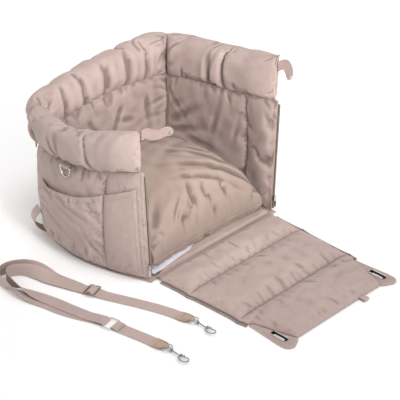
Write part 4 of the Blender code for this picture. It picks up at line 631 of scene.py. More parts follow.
sides = ("left", "back", "right")
plans = {(side, top): plan_curve(side, top) for side in sides for top in (False, True)}
top_length = {side: along_curve(plans[side, True], 1.0)[2] for side in sides}
facing = {side: facing_width / along_curve(plans[side, False], 1.0)[2]
          for side in ("left", "right")}


def rim_place(side, share):
    """A wall's share as a share of the whole rim, from the left front to the right front."""
    return {"left": share / 3, "back": (1 + share) / 3, "right": 1 - share / 3}[side]


def roll_tall(side, share):
    """Height of a roll, lower where the rim curves down at the left."""
    part = through((1.0, 0.87, 0.79, 0.89, 0.98, 1.0, 1.0), rim_place(side, share))
    return roll_full_tall * part


def wall_top(side, share):
    """Height of a wall's top: the rim's height less the roll and its seat."""
    rim = through((.388, .330, .316, .338, .346, .366, .398), rim_place(side, share))
    return rim - roll_tall(side, share) - seat_gap


def wall_middle(side, share, height):
    """Middle surface of a wall and its outward normal: the base plan and the top plan
    mixed by height, swelling out at half height."""
    share, height = np.broadcast_arrays(np.asarray(share, float), height)
    low, low_slope, _ = along_curve(plans[side, False], share)
    top, top_slope, _ = along_curve(plans[side, True], share)
    h = height[..., None]
    slope = unit(low_slope * (1 - h) + top_slope * h)
    outward = np.stack([-slope[..., 1], slope[..., 0]], -1) * (-1.0 if side == "right" else 1.0)
    swell = 0.012 * np.sin(math.pi * height)
    if side != "back":
        swell = swell * smoothstep(ramp(share, 0.0, facing[side]))
    plan = low * (1 - h) + top * h + outward * swell[..., None]
    z = wall_bottom + (wall_top(side, share) - wall_bottom) * height
    return np.concatenate([plan, z[..., None]], -1), np.concatenate([outward, 0 * h], -1)


def crown(share, power):
    """0 at both ends of a channel and 1 in its middle, steep at the seams."""
    return np.sqrt(np.clip(1.0 - np.abs(2.0 * share - 1.0) ** power, 0.0, 1.0))


def channels(share, seams, power=3.0):
    """Fill of the channels between seams: the crown of each."""
    edges = np.concatenate([[0.0], seams, [1.0]])
    i = np.clip(np.searchsorted(edges, share, side="right") - 1, 0, len(edges) - 2)
    return crown((share - edges[i]) / (edges[i + 1] - edges[i]), power)


def wall_thick(side, share, height):
    """Thickness of a wall: full in its channels, thin at its edges and at the facing's seam."""
    seams = [facing[side]] if side != "back" else []
    seam_side = 0.010 + 0.006 * (1 - height) ** 8
    filled = channels(share, seams) * crown(height, 4.0)
    return seam_side + (wall_full - seam_side) * filled


def wall_face(side, share, z, out):
    """A point on a wall's outer face at a height, moved outwards, and its normal."""
    share, z = np.broadcast_arrays(np.asarray(share, float), np.asarray(z, float))
    height = ramp(z, wall_bottom, wall_top(side, share))
    middle, outward = wall_middle(side, share, height)
    point = middle + outward * (wall_thick(side, share, height) / 2 + out)[..., None]
    point[..., 2] = z
    return point, outward


def folds(s, t, rows):
    """Creases in metres: each runs from (s0, t0) to (s1, t1) with a width and a depth, is
    a furrow with raised flanks, deepens near its first end and fades towards its second."""
    s0, t0, s1, t1, width, depth = np.concatenate(rows).T[:, :, None, None]
    ds, dt = s1 - s0, t1 - t0
    place = np.clip(((s - s0) * ds + (t - t0) * dt) / (ds ** 2 + dt ** 2), 0.0, 1.0)
    away = np.hypot(s - s0 - place * ds, t - t0 - place * dt) / width
    begun = np.clip(place * np.hypot(ds, dt) / (4 * width), 0.0, 1.0)
    fade = (1 - place) ** 1.2 * begun * depth
    return np.sum(fade * (0.45 * np.exp(-(away - 1.9) ** 2) - np.exp(-away ** 2)), axis=0)


def gathers(random, first, last, spacing, reach, width, depth):
    """Rows for folds(): random creases that leave the seam between two points."""
    first, last = np.array(first, float), np.array(last, float)
    length = np.linalg.norm(last - first)
    ahead = (last - first) / length
    side = np.array([-ahead[1], ahead[0]])
    count = max(int(length / spacing), 1)
    places = (np.arange(count) + random.uniform(0.1, 0.9, count)) / count
    start = first + (last - first) * places[:, None]
    lean = random.normal(0.0, 0.35, count)[:, None]
    reach = reach * random.uniform(0.35, 1.0, count)[:, None]
    stop = start + (side + ahead * lean) * reach
    return np.column_stack([start, stop, width * random.uniform(0.7, 1.5, count),
                            depth * random.uniform(0.4, 1.0, count)])


def waves(s, t, random, wavelength, count=11):
    """Smooth random field about 0: a sum of plane waves in random directions."""
    turn = random.uniform(0, math.tau, count)[:, None, None]
    start = random.uniform(0, math.tau, count)[:, None, None]
    k = math.tau / (wavelength * random.uniform(0.7, 1.6, count))[:, None, None]
    return np.sum(np.cos(k * (s * np.cos(turn) + t * np.sin(turn)) + start), 0) / math.sqrt(count)


def two_sided(front, back, s, t):
    """Points, faces and thread coordinates of a closed pad: two grids with one border."""
    rows, columns = front.shape[:2]
    near = np.arange(rows * columns).reshape(rows, columns)
    far = near.copy()
    far[1:-1, 1:-1] = near.size + np.arange((rows - 2) * (columns - 2)).reshape(rows - 2, -1)
    threads = np.stack([s, t], -1)
    points, threads = (np.concatenate([a.reshape(-1, size), b[1:-1, 1:-1].reshape(-1, size)])
                       for a, b, size in ((front, back, 3), (threads, threads, 2)))
    return points, np.concatenate([grid_faces(near), grid_faces(far)[:, ::-1]]), threads


def closer_at(marks, count):
    """Shares that lie closer together at each mark, with a step at each of them."""
    eased = (1.0 - np.cos(np.linspace(0.0, math.pi, 400))) / 2
    line = np.linspace(0.0, 1.0, 400)
    parts = []
    for a, b in zip(marks, marks[1:]):
        steps = max(int(count * (b - a) / (marks[-1] - marks[0])), 6)
        parts.append(a + (b - a) * np.interp(np.linspace(0, 1, steps + 1)[:-1], line,
                                             0.5 * eased + 0.5 * line))
    return np.concatenate(parts + [[marks[-1]]])


def settle(made, sewn, growth, pressure, room, cap):
    """Let a pad's cloth find its own wrinkles. It is a little larger than the form that it
    covers, is held where it is sewn (1) and pressed out by its fill. No point moves
    further than the cap, or further out than the room left for it."""
    rest, normals = (vectors(made.data.vertices, name) for name in ("co", "normal"))
    group = made.vertex_groups.new(name="sewn")
    levels = np.round(np.clip(sewn, 0.0, 1.0) * 8).astype(int)
    for level in range(1, 9):
        group.add(np.flatnonzero(levels == level).tolist(), level / 8, "REPLACE")
    cloth = made.modifiers.new("cloth", "CLOTH")
    set_all(cloth.settings, quality=4, mass=0.15, tension_stiffness=12.0,
            compression_stiffness=12.0, shear_stiffness=4.0, bending_stiffness=0.25,
            use_pressure=True, uniform_pressure_force=pressure, shrink_min=-growth,
            vertex_group_mass="sewn")
    cloth.settings.effector_weights.gravity = 0.0
    cloth.collision_settings.use_collision = False
    cloth.point_cache.frame_end = 20
    for number in range(1, 21):
        bpy.context.scene.frame_set(number)
    settled = made.evaluated_get(bpy.context.evaluated_depsgraph_get())
    step = vectors(settled.data.vertices, "co") - rest
    made.modifiers.clear()
    made.vertex_groups.clear()
    bpy.context.scene.frame_set(1)
    step *= np.minimum(1.0, cap / np.maximum(np.linalg.norm(step, axis=1), 1e-9))[:, None]
    over = np.maximum(np.sum(step * normals, 1) - room, 0.0)
    step -= normals * over[:, None]
    made.data.vertices.foreach_set("co", (rest + step).ravel())
    made.data.update()


def smoothed(made):
    """Mark a pad's creases as they now are and smooth it once."""
    mark_creases(made.data, 0.0016)
    set_all(made.modifiers.new("smooth", "SUBSURF"), levels=1, render_levels=1)


def padded_piece(name, front, back, s, t, finish, slot, body, replaces, fill, sewn, **cloth):
    """A stuffed pad of two grids."""
    made = piece(name, *two_sided(front, back, s, t), finish, slot, body, replaces)
    settle(made, np.concatenate([sewn[0].ravel(), sewn[1][1:-1, 1:-1].ravel()]), **cloth)
    smoothed(made)


# Creases read from the photograph, in metres along the wall and up it: 1 is the outer face
wall_creases = {
    ("left", 1): [(.02, .03, .12, .075, .006, .004), (.03, .008, .15, .03, .005, .004)],
    ("right", -1): [(.36, .10, .20, .22, .010, .006), (.37, .08, .20, .14, .009, .006),
                    (.36, .22, .26, .10, .007, .004), (.21, .12, .17, .24, .007, .004),
                    (.14, .12, .11, .23, .006, .003), (.30, .09, .15, .08, .008, .004)],
    ("back", -1): [(.10, .18, .16, .10, .007, .005), (.17, .20, .22, .12, .007, .005),
                   (.28, .20, .25, .10, .007, .005), (.36, .20, .38, .08, .007, .005),
                   (.05, .19, .10, .14, .006, .005), (.33, .14, .24, .17, .007, .004)]}
for seed, side in enumerate(sides):
    random = np.random.default_rng(40 + seed)
    length, shift = top_length[side], gap / top_length[side]
    marks = [0.0, 1.0] if side == "back" else [0.0, facing[side], 1.0]
    share, height = np.meshgrid(closer_at(marks, 84), closer_at([0.0, 1.0], 62), indexing="ij")
    share = (share * (1 - 2 * shift) + shift) if side == "back" else share * (1 - shift)
    middle, outward = wall_middle(side, share, height)
    tall = wall_top(side, share)
    high, s, t = tall.mean(), share * length, height * tall
    edge = crown(share, 12.0) * crown(height, 12.0)
    half = (wall_thick(side, share, height) / 2 - 0.0008) * edge
    sewn, calm = (edge < 0.01) * 1.0, 1.0
    if side != "back":
        seam = facing[side] * length
        sewn = np.maximum(sewn, bell(s - seam, 0.003))
    if side == "left":
        sewn = np.maximum(sewn, 0.5 * (share < facing[side]))
        calm = np.where(share < facing[side], 0.45, 1.0)
    grids = []
    for way in (1, -1):
        rows = [gathers(random, (0, 0), (length, 0), 0.030, 0.06, 0.006, 0.0030),
                gathers(random, (length, high), (0, high), 0.026, 0.07, 0.006, 0.0030),
                gathers(random, (length, 0), (length, high), 0.024, 0.09, 0.006, 0.0035)]
        if side == "back":
            rows.append(gathers(random, (0, high), (0, 0), 0.024, 0.09, 0.006, 0.0035))
        else:
            rows += [gathers(random, (seam, first), (seam, high - first), 0.050, 0.035, 0.005,
                             0.0016) for first in (high, 0)]
        rows.append(wall_creases.get((side, way), np.empty((0, 6))))
        ruffle = folds(s, t, rows) + 0.0007 * waves(s, t, random, 0.04) - 0.0012
        ruffle = np.clip(ruffle * calm, -0.55 * half, 0.0004) * edge
        grids.append(middle + outward * ((half + ruffle) * way)[..., None])
    padded_piece(f"{side}_wall_cloth", *grids, s, t, taupe, "shell_cloth", "tub",
                 [f"{side}_wall"], 0.5, (sewn, sewn), growth=0.035, pressure=2.0, room=0.0010,
                 cap=0.009)

# Rim rolls: taupe nylon tubes stuffed firm, drawn in at the corner seams and gathered where
# they are sewn to the walls. Their front ends are sewn flat.
roll_folds = {"left": ((0.34, 0.03, 0.06), (0.62, 0.05, 0.04), (0.84, 0.11, 0.045)),
              "back": ((0.20, 0.15, 0.030), (0.36, 0.10, 0.020), (0.52, 0.14, 0.025),
                       (0.68, 0.17, 0.030), (0.82, 0.08, 0.020)),
              "right": ((0.46, 0.15, 0.030), (0.60, 0.07, 0.025))}
roll_thick, roll_girth, roll_start = 0.070, 0.14, 0.008


def roll_size(side, share):
    """Thickness and height of a roll, drawn in at its corners, folds and front end."""
    length, tall, ends = top_length[side], roll_tall(side, share), 1 - share
    if side == "back":
        thick, ends = roll_thick, np.minimum(share, ends)
    else:
        flat = np.sin(ramp(share * length, roll_start, roll_start + 0.060) * math.pi / 2)
        thick, tall = 0.026 + 0.044 * flat, tall * (0.985 + 0.015 * flat)
    ends = ramp(ends * length, 0.0, 0.026)
    thick = thick * (0.72 + 0.28 * np.sqrt(ends * (2 - ends)))
    for place, depth, width in roll_folds[side]:
        thick = thick * (1 - depth * bell(share - place, width))
    return thick, tall


def roll_lean(thick, level):
    """How far the middle of a roll leans outwards at a share of its height."""
    return 0.010 * thick / roll_thick * level


for seed, side in enumerate(sides):
    random = np.random.default_rng(70 + seed)
    length = top_length[side]
    start, stop = (gap if side == "back" else roll_start) / length, 1 - gap / length
    end_share, turn = np.meshgrid(closer_at([0.0, 1.0], 88), np.linspace(
        -0.5 * math.pi, 0.5 * math.pi, 38), indexing="ij")
    share = start + (stop - start) * end_share
    middle, outward = wall_middle(side, share, 1.0)
    thick, tall = roll_size(side, share)
    edge = crown(end_share, 16.0)
    level = (1 + np.sign(np.sin(turn)) * np.abs(np.sin(turn)) ** 0.8) / 2
    s, girth = share * length, (turn / math.pi + 0.5) * roll_girth
    sewn = ((edge < 0.01) | (turn < -1.56)) * 1.0
    flattened = {"left": 0.25, "back": 0.0, "right": 0.45}[side] * np.exp(-(s - s.min()) / 0.035)
    swell = np.abs(np.cos(turn)) ** (0.8 - flattened)
    grids = []
    for way in (1, -1):
        rows = [gathers(random, (s.min(), 0), (s.max(), 0), 0.022, 0.07, 0.0050, 0.0045),
                gathers(random, (s.max(), 0), (s.max(), roll_girth), 0.014, 0.07, 0.0050, 0.0055)]
        if side == "back":
            rows.append(gathers(random, (0, roll_girth), (0, 0), 0.014, 0.07, 0.0050, 0.0055))
        for place, depth, width in roll_folds[side]:
            spots = place * length + random.normal(0, 0.5 * width * length, 5)
            slant = random.normal(0.030 if side == "left" else 0.0, 0.014, 5)
            rows.append(np.column_stack([spots, random.uniform(0.0, 0.04, 5), spots + slant,
                                         random.uniform(0.09, 0.15, 5),
                                         random.uniform(0.005, 0.008, 5),
                                         random.uniform(0.3, 0.6, 5) * depth ** 0.5 * 0.045]))
        ruffle = folds(s, girth, rows) + 0.0008 * waves(s, girth, random, 0.045) - 0.0016
        ruffle = np.clip(ruffle, -0.009, 0.0004) * edge
        out = way * np.maximum((thick / 2 - 0.0006) * swell * edge + ruffle * np.cos(turn), 0.0)
        grid = middle + outward * (out + roll_lean(thick, level))[..., None]
        grid[..., 2] = wall_top(side, share) + seat_gap + 0.0003 + (tall - 0.0006) * level
        grid[..., 2] += ruffle * np.maximum(np.sin(turn), 0.0)
        if side == "right":
            grid[..., 2] += 0.010 * bell(s - s.min(), 0.020) * level ** 3
        grids.append(grid)
    grids[0][:, -1] = (grids[0][:, -1] + grids[1][:, -1]) / 2
    padded_piece(f"{side}_rim_roll_cloth", *grids, s, girth, taupe, "shell_cloth", "tub",
                 [f"{side}_rim_roll"], 0.8, (sewn, sewn), growth=0.06, pressure=4.0,
                 room=0.0015, cap=0.012)

# Lift-out cushion: a plump loose pillow of slightly warmer nylon with a seam round its edge.
# Its front corners are drawn in by deep creases.
warm = cloth_finish("warm_cushion_cloth", ((121, 101, 92), (147, 127, 117), (170, 151, 141)),
                    0.0012, sheen=0.12)
cushion_half_x, cushion_half_y, cushion_y, drawn_in = 0.179, 0.1615, -0.0115, 0.010
cushion_seam_z, cushion_rise, cushion_sag = 0.0309, 0.138, 0.0185


def cushion_plan(across, along):
    """Places in the cushion's outline: a rectangle whose sides are drawn in."""
    return (across * (cushion_half_x - drawn_in * (1 - along ** 2)),
            cushion_y + along * (cushion_half_y - drawn_in * (1 - across ** 2)))


random = np.random.default_rng(7)
across, along = np.meshgrid(closer_at([-1, 1], 90), closer_at([-1, 1], 84), indexing="ij")
x, y = cushion_plan(across, along)
swell = ((1 - np.abs(across) ** 2.3) * (1 - np.abs(along) ** 2.3)) ** 0.31
rows = [gathers(random, (-.179, -.173), (.179, -.173), 0.060, 0.035, 0.005, 0.003),
        gathers(random, (.179, -.173), (.179, .150), 0.022, 0.07, 0.006, 0.005),
        gathers(random, (.179, .150), (-.179, .150), 0.014, 0.06, 0.005, 0.005),
        gathers(random, (-.179, .150), (-.179, -.173), 0.014, 0.06, 0.005, 0.005),
        [(.175, -.165, -.04, -.03, .008, .008), (.172, -.150, .00, .03, .007, .007),
         (.150, -.170, -.06, -.08, .007, .007), (.176, -.160, .04, -.10, .007, .006),
         (.174, -.120, .05, .02, .007, .006), (.176, -.080, .08, .05, .007, .006),
         (.177, -.172, .02, -.14, .006, .003), (.10, -.168, -.08, -.11, .007, .004),
         (.178, -.165, .09, -.02, .006, .006),
         (-.172, -.165, -.08, -.09, .009, .009), (-.120, -.168, -.03, -.12, .008, .006),
         (-.150, -.110, -.12, -.140, .014, .012), (-.178, -.10, -.10, -.03, .008, .005),
         (-.03, -.160, .03, -.02, .010, .004), (.07, -.165, .08, -.06, .009, .004),
         (.12, .02, -.04, -.03, .012, .004), (.10, .08, -.06, .03, .012, .004)]]
ruffle = np.clip(folds(x, y, rows) + 0.0012 * waves(x, y, random, 0.05) - 0.002, -0.008, 0.0005)
edge = (np.maximum(np.abs(across), np.abs(along)) > 0.999) * 1.0
firm = np.minimum(1.0, 3 * swell)
top = cushion_seam_z + cushion_rise * swell + ruffle * firm
bottom = cushion_seam_z - cushion_sag * firm
padded_piece("cushion_cloth", np.stack([x, y, top], -1), np.stack([x, y, bottom], -1), x, y,
             warm, "cushion_cloth", "cushion", ["cushion"], 0.7, (edge, edge), growth=0.07,
             pressure=2.5, room=0.001, cap=0.014)

# Front flap: three filled channels between two stitched seams, flat below, lying open. It is
# the same cloth as the walls, over fibre fill.
hinge_y, flap_start, flap_length, zip_end = -0.1945, 0.0035, 0.368, 0.262
flap_thick, flap_fill, flap_end_rise, flap_side_rise = 0.003, 0.0195, 0.003, 0.0022
seam_lines = np.array([0.093, 0.238])
flap_seams = seam_lines / flap_length


def flap_side(v):
    """Half width of the filled panel at a distance from the hinge."""
    side = 0.190 - 0.010 * v / zip_end - 0.004 * channels(v / flap_length, flap_seams)
    return np.where(v > zip_end, np.minimum(side, 0.168 - 0.030 * ramp(v, zip_end, flap_length)),
                    side)


random = np.random.default_rng(21)
from_hinge = flap_start + (flap_length - flap_start) * closer_at([0.0, *flap_seams, 1.0], 86)
v, u = np.meshgrid(from_hinge, closer_at([-1.0, 1.0], 80), indexing="ij")
x, y = u * flap_side(v), hinge_y - v
inside = crown((u + 1) / 2, 6.0)
filled = channels(v / flap_length, flap_seams, 2.4) * inside
rows = [gathers(random, (-0.17 * way, seam), (0.17 * way, seam), 0.036, 0.05, 0.0055, 0.0035)
        for seam in (0.0, *seam_lines, flap_length) for way in (1, -1)]
rows += [gathers(random, (-0.18 * way, 0.18 - 0.18 * way), (-0.18 * way, 0.18 + 0.18 * way),
                 0.018, 0.05, 0.0050, 0.0045) for way in (1, -1)]
ruffle = folds(x, v, rows) + 0.0008 * waves(x, v, random, 0.045) - 0.001
thick = flap_thick + 0.0025 * inside + flap_fill * filled
thick = np.maximum(thick + np.minimum(ruffle, 0.0003) * filled, 0.0015)
panel = np.stack([x, y, floor_lift + thick], -1)
seam_dip = sum(bell(v - seam, 0.005) for seam in seam_lines)
under = 0.0002 + 0.0016 * seam_dip + 0.35 * np.clip(-0.0012 - ruffle, 0.0, 0.0040) * inside
under_side = np.stack([x, y, floor_lift + under], -1)
panel[[0, -1], :, 2] = floor_lift + flap_end_rise
panel[:, [0, -1], 2] = floor_lift + flap_side_rise
edge = ((np.abs(u) > 0.999) | (v < flap_start + 1e-4) | (v > flap_length - 1e-4)) * 1.0
for seam in seam_lines:
    edge = np.maximum(edge, bell(v - seam, 0.0025))
padded_piece("front_flap_cloth", panel, under_side, x, v, taupe, "shell_cloth", "front_flap",
             ["front_flap_panel"], 0.5, (edge, np.ones_like(edge)), growth=0.015, pressure=5.0,
             room=0.003, cap=0.012)


# Hinge strip and base: a strip of the same cloth sews the flap to the base, bends with the
# hinge and covers the white lining except at the left front corner. Base cloth, lining and
# the card between them are flat sheets.
def draped(name, x, y, z, thick, finish, slot, body=None, replaces=(), ruffle=0.0):
    """A thin closed sheet over a grid of x and y, with its underside at z."""
    z = z + 0 * x
    top, under = (np.stack([x, y, level], -1) for level in (z + thick + ruffle, z))
    return piece(name, *two_sided(top, under, x, y), finish, slot, body, replaces)


random = np.random.default_rng(90)
along, inward = np.meshgrid(np.linspace(-1, 1, 161), np.linspace(0, 1, 41), indexing="ij")
x = along * 0.186
inner = -0.1865 + 0.0190 * ramp(x, -0.186, -0.050) ** 0.8 + 0.0180 * ramp(x, -0.060, -0.010)
outer = hinge_y - 0.0085
y = outer + (inner - outer) * inward
z = (0.0034 + 0.0074 * smoothstep(ramp(y, -0.1852, -0.1807)) + 0.0030 * bell(y - hinge_y, 0.0045)
     + 0.0035 * ramp(y, hinge_y, hinge_y - 0.006))
z = z + 0.0004 * waves(x, y, random, 0.03) * np.sin(math.pi * inward)
hinge_strip = draped("hinge_strip", x, y, z, 0.0008, taupe, "shell_cloth")
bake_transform(hinge_strip)
lining = cloth_finish("white_lining", ((196, 194, 208), (218, 216, 228), (238, 238, 244)),
                      0.0008, 0.0001, 0.0006, 0.5, 0.15)
card = cloth_finish("grey_card", ((96, 92, 88), (116, 112, 107), (138, 133, 127)), 0.0030,
                    0.0001, 0.0003, 0.9, 0.0, twill=1.0)
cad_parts["base_board"].material_slots[0].material = card
for name, offset, front_y, z, thick, finish, slot in (
        ("base_panel", 0.0068, -0.1909, 0.0002, 0.0026, taupe, "shell_cloth"),
        ("base_lining", -0.0162, -0.1797, 0.0088, 0.0016, lining, "lining_cloth")):
    parts = []
    for side, way in (("left", 1), ("back", 1), ("right", -1)):
        plan, outward = wall_middle(side, np.linspace(0, 1, 61), 0.0)
        parts.append((plan + outward * offset)[::way, :2])
    parts[0][0, 1] = parts[2][-1, 1] = front_y
    rim = np.concatenate([parts[0], parts[1][1:], parts[2][1:]])
    share = np.linspace(0, 1, 31)[:, None, None]
    middle = np.stack([np.linspace(rim[0, 0], rim[-1, 0], len(rim)),
                       np.full(len(rim), front_y)], 1)
    x, y = np.moveaxis(rim * share + middle * (1 - share), -1, 0)
    draped(name + "_cloth", x, y, z, thick, finish, slot, "tub", [name],
           np.clip(0.00025 * waves(x, y, random, 0.05), -0.0003, 0.0003))


# Seams of the tub: bound seams up both back corners and between rolls and walls, a row of thread
# beside the walls' back corner seams, and piping and rows of thread up each wall's front edge.
def round_tube(name, line, radius, finish, spacing=0.0025):
    """Round cord or binding along a line on the tub."""
    line = finer(line, spacing)[0]
    aside = np.cross(unit(np.gradient(line, axis=0).mean(0)), (0.3, 0.5, 0.81))
    carried(name, line, aside, round_bar_section(radius, 12), finish, "shell_cloth", "tub")


binding = cloth_finish("dark_seam_binding", ((112, 92, 84), (134, 113, 104), (156, 135, 126)),
                       0.0010, 0.0002, 0.0004, 0.8, 0.2, twill=1.0)
piping = cloth_finish("edge_piping", ((150, 129, 121), (176, 155, 147), (198, 178, 170)),
                      0.0010, 0.0002, 0.0004, 0.75, 0.25, twill=1.0)
for side in ("left", "right"):
    line, outward = wall_middle(side, 1.0, np.linspace(0.02, 0.985, 60))
    round_tube(f"{side}_back_wall_seam", line, 0.0026, binding)
    stitches(f"{side}_back_wall_stitches", line - outward * 0.0040, -outward)
    line, outward = wall_middle(side, 1.0, np.linspace(0.02, 1.0, 40))
    carried(f"{side}_back_seam_allowance", np.concatenate([line, line[-1:] + upwards * 0.085]),
            np.cross(outward[0], upwards), oval(0.012, 0.0012, 16), binding, "shell_cloth",
            "tub")
    level = np.linspace(0.03, 0.97, 40)
    line, outward = wall_middle(side, 1.0, np.ones(40))
    thick, tall = roll_size(side, 1.0)
    line = line + outward * roll_lean(thick, level)[:, None]
    line[:, 2] = wall_top(side, 1.0) + seat_gap + tall * level
    round_tube(f"{side}_back_roll_seam", line, 0.0030, binding)
for side in sides:
    share = np.linspace(0.03 if side != "back" else 0.01, 0.99, 150)
    line, outward = wall_middle(side, share, 1.0)
    line[:, 2] = wall_top(side, share) + seat_gap / 2
    round_tube(f"{side}_rim_seam", line, 0.0028, binding, 0.004)
for side in ("left", "right"):
    height = np.linspace(0.015, 0.985, 90)
    line, outward = wall_middle(side, 0.0006, height)
    round_tube(f"{side}_front_piping", line, 0.0019, piping)
    share = 0.0045 / top_length[side]
    line, outward = wall_middle(side, share, height)
    thick = (wall_thick(side, share, height) / 2 - 0.0008) * crown(share, 12.0)
    for name, way in (("out", 1), ("in", -1)):
        stitches(f"{side}_edge_stitches_{name}",
                 line + outward * (way * (thick + 0.0001))[:, None], outward * way)

# Zips down the front edges and along the flap: brown tapes with metal teeth along their
# edges, sewn into the seams. Sliders, pulls, eyelets and studs are cast metal.
zip_cloth = cloth_finish("brown_zip_tape", ((104, 84, 75), (122, 101, 91), (128, 107, 96)),
                         0.0010, 0.0002, 0.0002, 0.7, 0.2, twill=1.0)
teeth_metal = metal_finish("zip_teeth", ((150, 144, 136), (206, 200, 192)), 0.32)
# The eyelets' metal carries painted shade: near black inside each slot.
slot_metal = metal_finish("eyelet_nickel", bright, 0.24, painted_slot_shade=(0.163, 0.0053))
tape_reach, coil, half_tape, teeth_step = 0.0060, 0.0016, 0.0006, 0.0026
teeth_reach = tape_reach - 0.0003
round_coil = np.linspace(-0.72 * math.pi, 0.72 * math.pi, 12)
zip_section = np.array([(0.0, half_tape), (0.0, -half_tape), (0.0022, -half_tape),
                        (tape_reach - coil, -half_tape),
                        *[(tape_reach + 0.7 * coil * math.cos(a), 0.7 * coil * math.sin(a))
                          for a in round_coil],
                        (tape_reach - coil, half_tape), (0.0022, half_tape)])


def zip_half(name, line, across, turned, teeth, out, body):
    """One side of a zip: a tape with a coil at its edge, and a row of teeth."""
    carried(name + "_tape", line, across, zip_section * (1, -1 if turned else 1), zip_cloth,
            "zip", body, [name])
    blocks(name + "_teeth", teeth, across, out, (0.0028, 0.0014, 0.0026), teeth_metal, "zip",
           body)


for side, sign in (("left", -1.0), ("right", 1.0)):
    foot, outward = wall_middle(side, 0.0, 0.0)
    head, _ = wall_middle(side, 0.0, 1.0)
    length = np.linalg.norm(head - foot)
    up = (head - foot) / length
    back = unit((0, 1.0, 0) - up * up[1])
    out = np.cross(back, up)
    out = out if out @ outward > 0 else -out
    line = foot + up * np.linspace(0.010, length - 0.010, 80)[:, None] - back * 2 * gap
    teeth = foot + up * np.arange(0.0115, length - 0.011, teeth_step)[:, None] - back * (
        2 * gap + teeth_reach)
    zip_half(f"{side}_wall_zip", line, -back, np.cross(up, -back) @ out <= 0, teeth, out, "tub")
    v = np.linspace(0.012, zip_end - 0.001, 130)
    line = np.stack([sign * (flap_side(v) + 2 * gap), hinge_y - v,
                     np.full_like(v, floor_lift + coil)], 1)
    teeth, = finer(line + (sign * teeth_reach, 0, 0), teeth_step)
    zip_half(f"{side}_flap_zip", line, (sign, 0, 0), sign > 0, teeth, upwards, "front_flap")
    plated([f"{side}_zip_slider", f"{side}_zip_pull", f"{side}_snap_stud"], nickel)
    plated([f"{side}_flap_eyelet"], slot_metal)

# Pocket on the left wall: one sheet of the shell cloth, sewn down along its front, foot and
# back, gathered at the foot, with a hemmed mouth that sags open.
pocket_foot, pocket_front, pocket_back = 0.020, 0.03, 0.84
cloth_thick, pocket_clear = 0.0012, 0.0020
random = np.random.default_rng(33)
share, level = np.meshgrid(np.linspace(pocket_front, pocket_back, 120),
                           closer_at([0.0, 1.0], 70), indexing="ij")
tops = through((0.248, 0.176, 0.160), share)
z = pocket_foot + (tops - pocket_foot) * level
ends = np.clip(np.minimum(share - pocket_front, pocket_back - share) / 0.16, 0.0, 1.0)
gape = 0.005 * level ** 1.5 * np.sin(ends * math.pi / 2)
s, t = share * top_length["left"], z - pocket_foot
hem = 0.0009 * bell(tops - z - 0.008, 0.006)
low, high = s.min(), s.max()
rows = [gathers(random, (low, 0), (high, 0), 0.012, 0.075, 0.0050, 0.0045),
        gathers(random, (high, 0), (high, 0.15), 0.016, 0.06, 0.0050, 0.0040),
        gathers(random, (high, 0.14), (low + 0.1, 0.16), 0.030, 0.05, 0.0060, 0.0040),
        [(.34, .13, .14, .03, .008, .0050), (.30, .15, .12, .08, .008, .0050),
         (.33, .08, .20, .01, .007, .0045), (.24, .14, .10, .10, .007, .0045),
         (.11, .02, .16, .12, .006, .0035), (.36, .05, .30, .00, .007, .0040)]]
ruffle = folds(s, t, rows) + 0.0008 * waves(s, t, random, 0.05)
held = np.minimum(1.0, 6 * np.minimum(level, 1.25 - level)) * np.minimum(1.0, ends * 4)
out = 0.0021 + gape + np.clip(ruffle + 0.0030, 0.0, 0.0065) * held
out = np.where(share < facing["left"], np.minimum(out, 0.0048), out)
front, outward = wall_face("left", share, z, out)
loose = piece("pocket_in_the_making", front.reshape(-1, 3),
              grid_faces(np.arange(share.size).reshape(share.shape)),
              np.zeros((share.size, 2)), taupe, "shell_cloth", "tub")
sewn = np.maximum(((level < 0.01) | (ends < 0.02)) * 1.0, 0.5 * (level > 0.98))
sewn = np.maximum(sewn, 0.8 * (share < facing["left"]))
settle(loose, sewn.ravel(), growth=0.026, pressure=0.4, room=0.003, cap=0.006)
front = vectors(loose.data.vertices, "co").reshape(front.shape)
bpy.data.objects.remove(loose)
height = ramp(front[..., 2], wall_bottom, wall_top("left", share))
middle, outward = wall_middle("left", share, height)
stand = np.sum((front - middle) * outward, -1) - wall_thick("left", share, height) / 2
front += outward * np.maximum(pocket_clear - stand, 0.0)[..., None]
stand = np.maximum(stand, pocket_clear)
back = front - outward * np.minimum(cloth_thick + hem, stand - 0.0006)[..., None]
front = front + outward * hem[..., None] * 0.6
pocket = piece("left_pocket_cloth", *two_sided(front, back, s, t), taupe, "shell_cloth", "tub",
               ["left_pocket_panel"])
smoothed(pocket)
float(np.mean(tops - pocket_foot) * np.ptp(s))
each = np.arange(len(share))
hem_row = np.abs(tops - z - 0.014).argmin(1)
facing_row = np.argmin(np.abs(share[:, 0] - facing["left"]))
for name, line in (("hem", (each[2:-2], hem_row[2:-2])), ("front", (3, slice(2, -2))),
                   ("back", (-4, slice(2, -2))), ("foot", (slice(3, -3), 3)),
                   ("facing", (facing_row, slice(2, -4)))):
    stitches(f"pocket_{name}_stitches", front[line], outward[line])

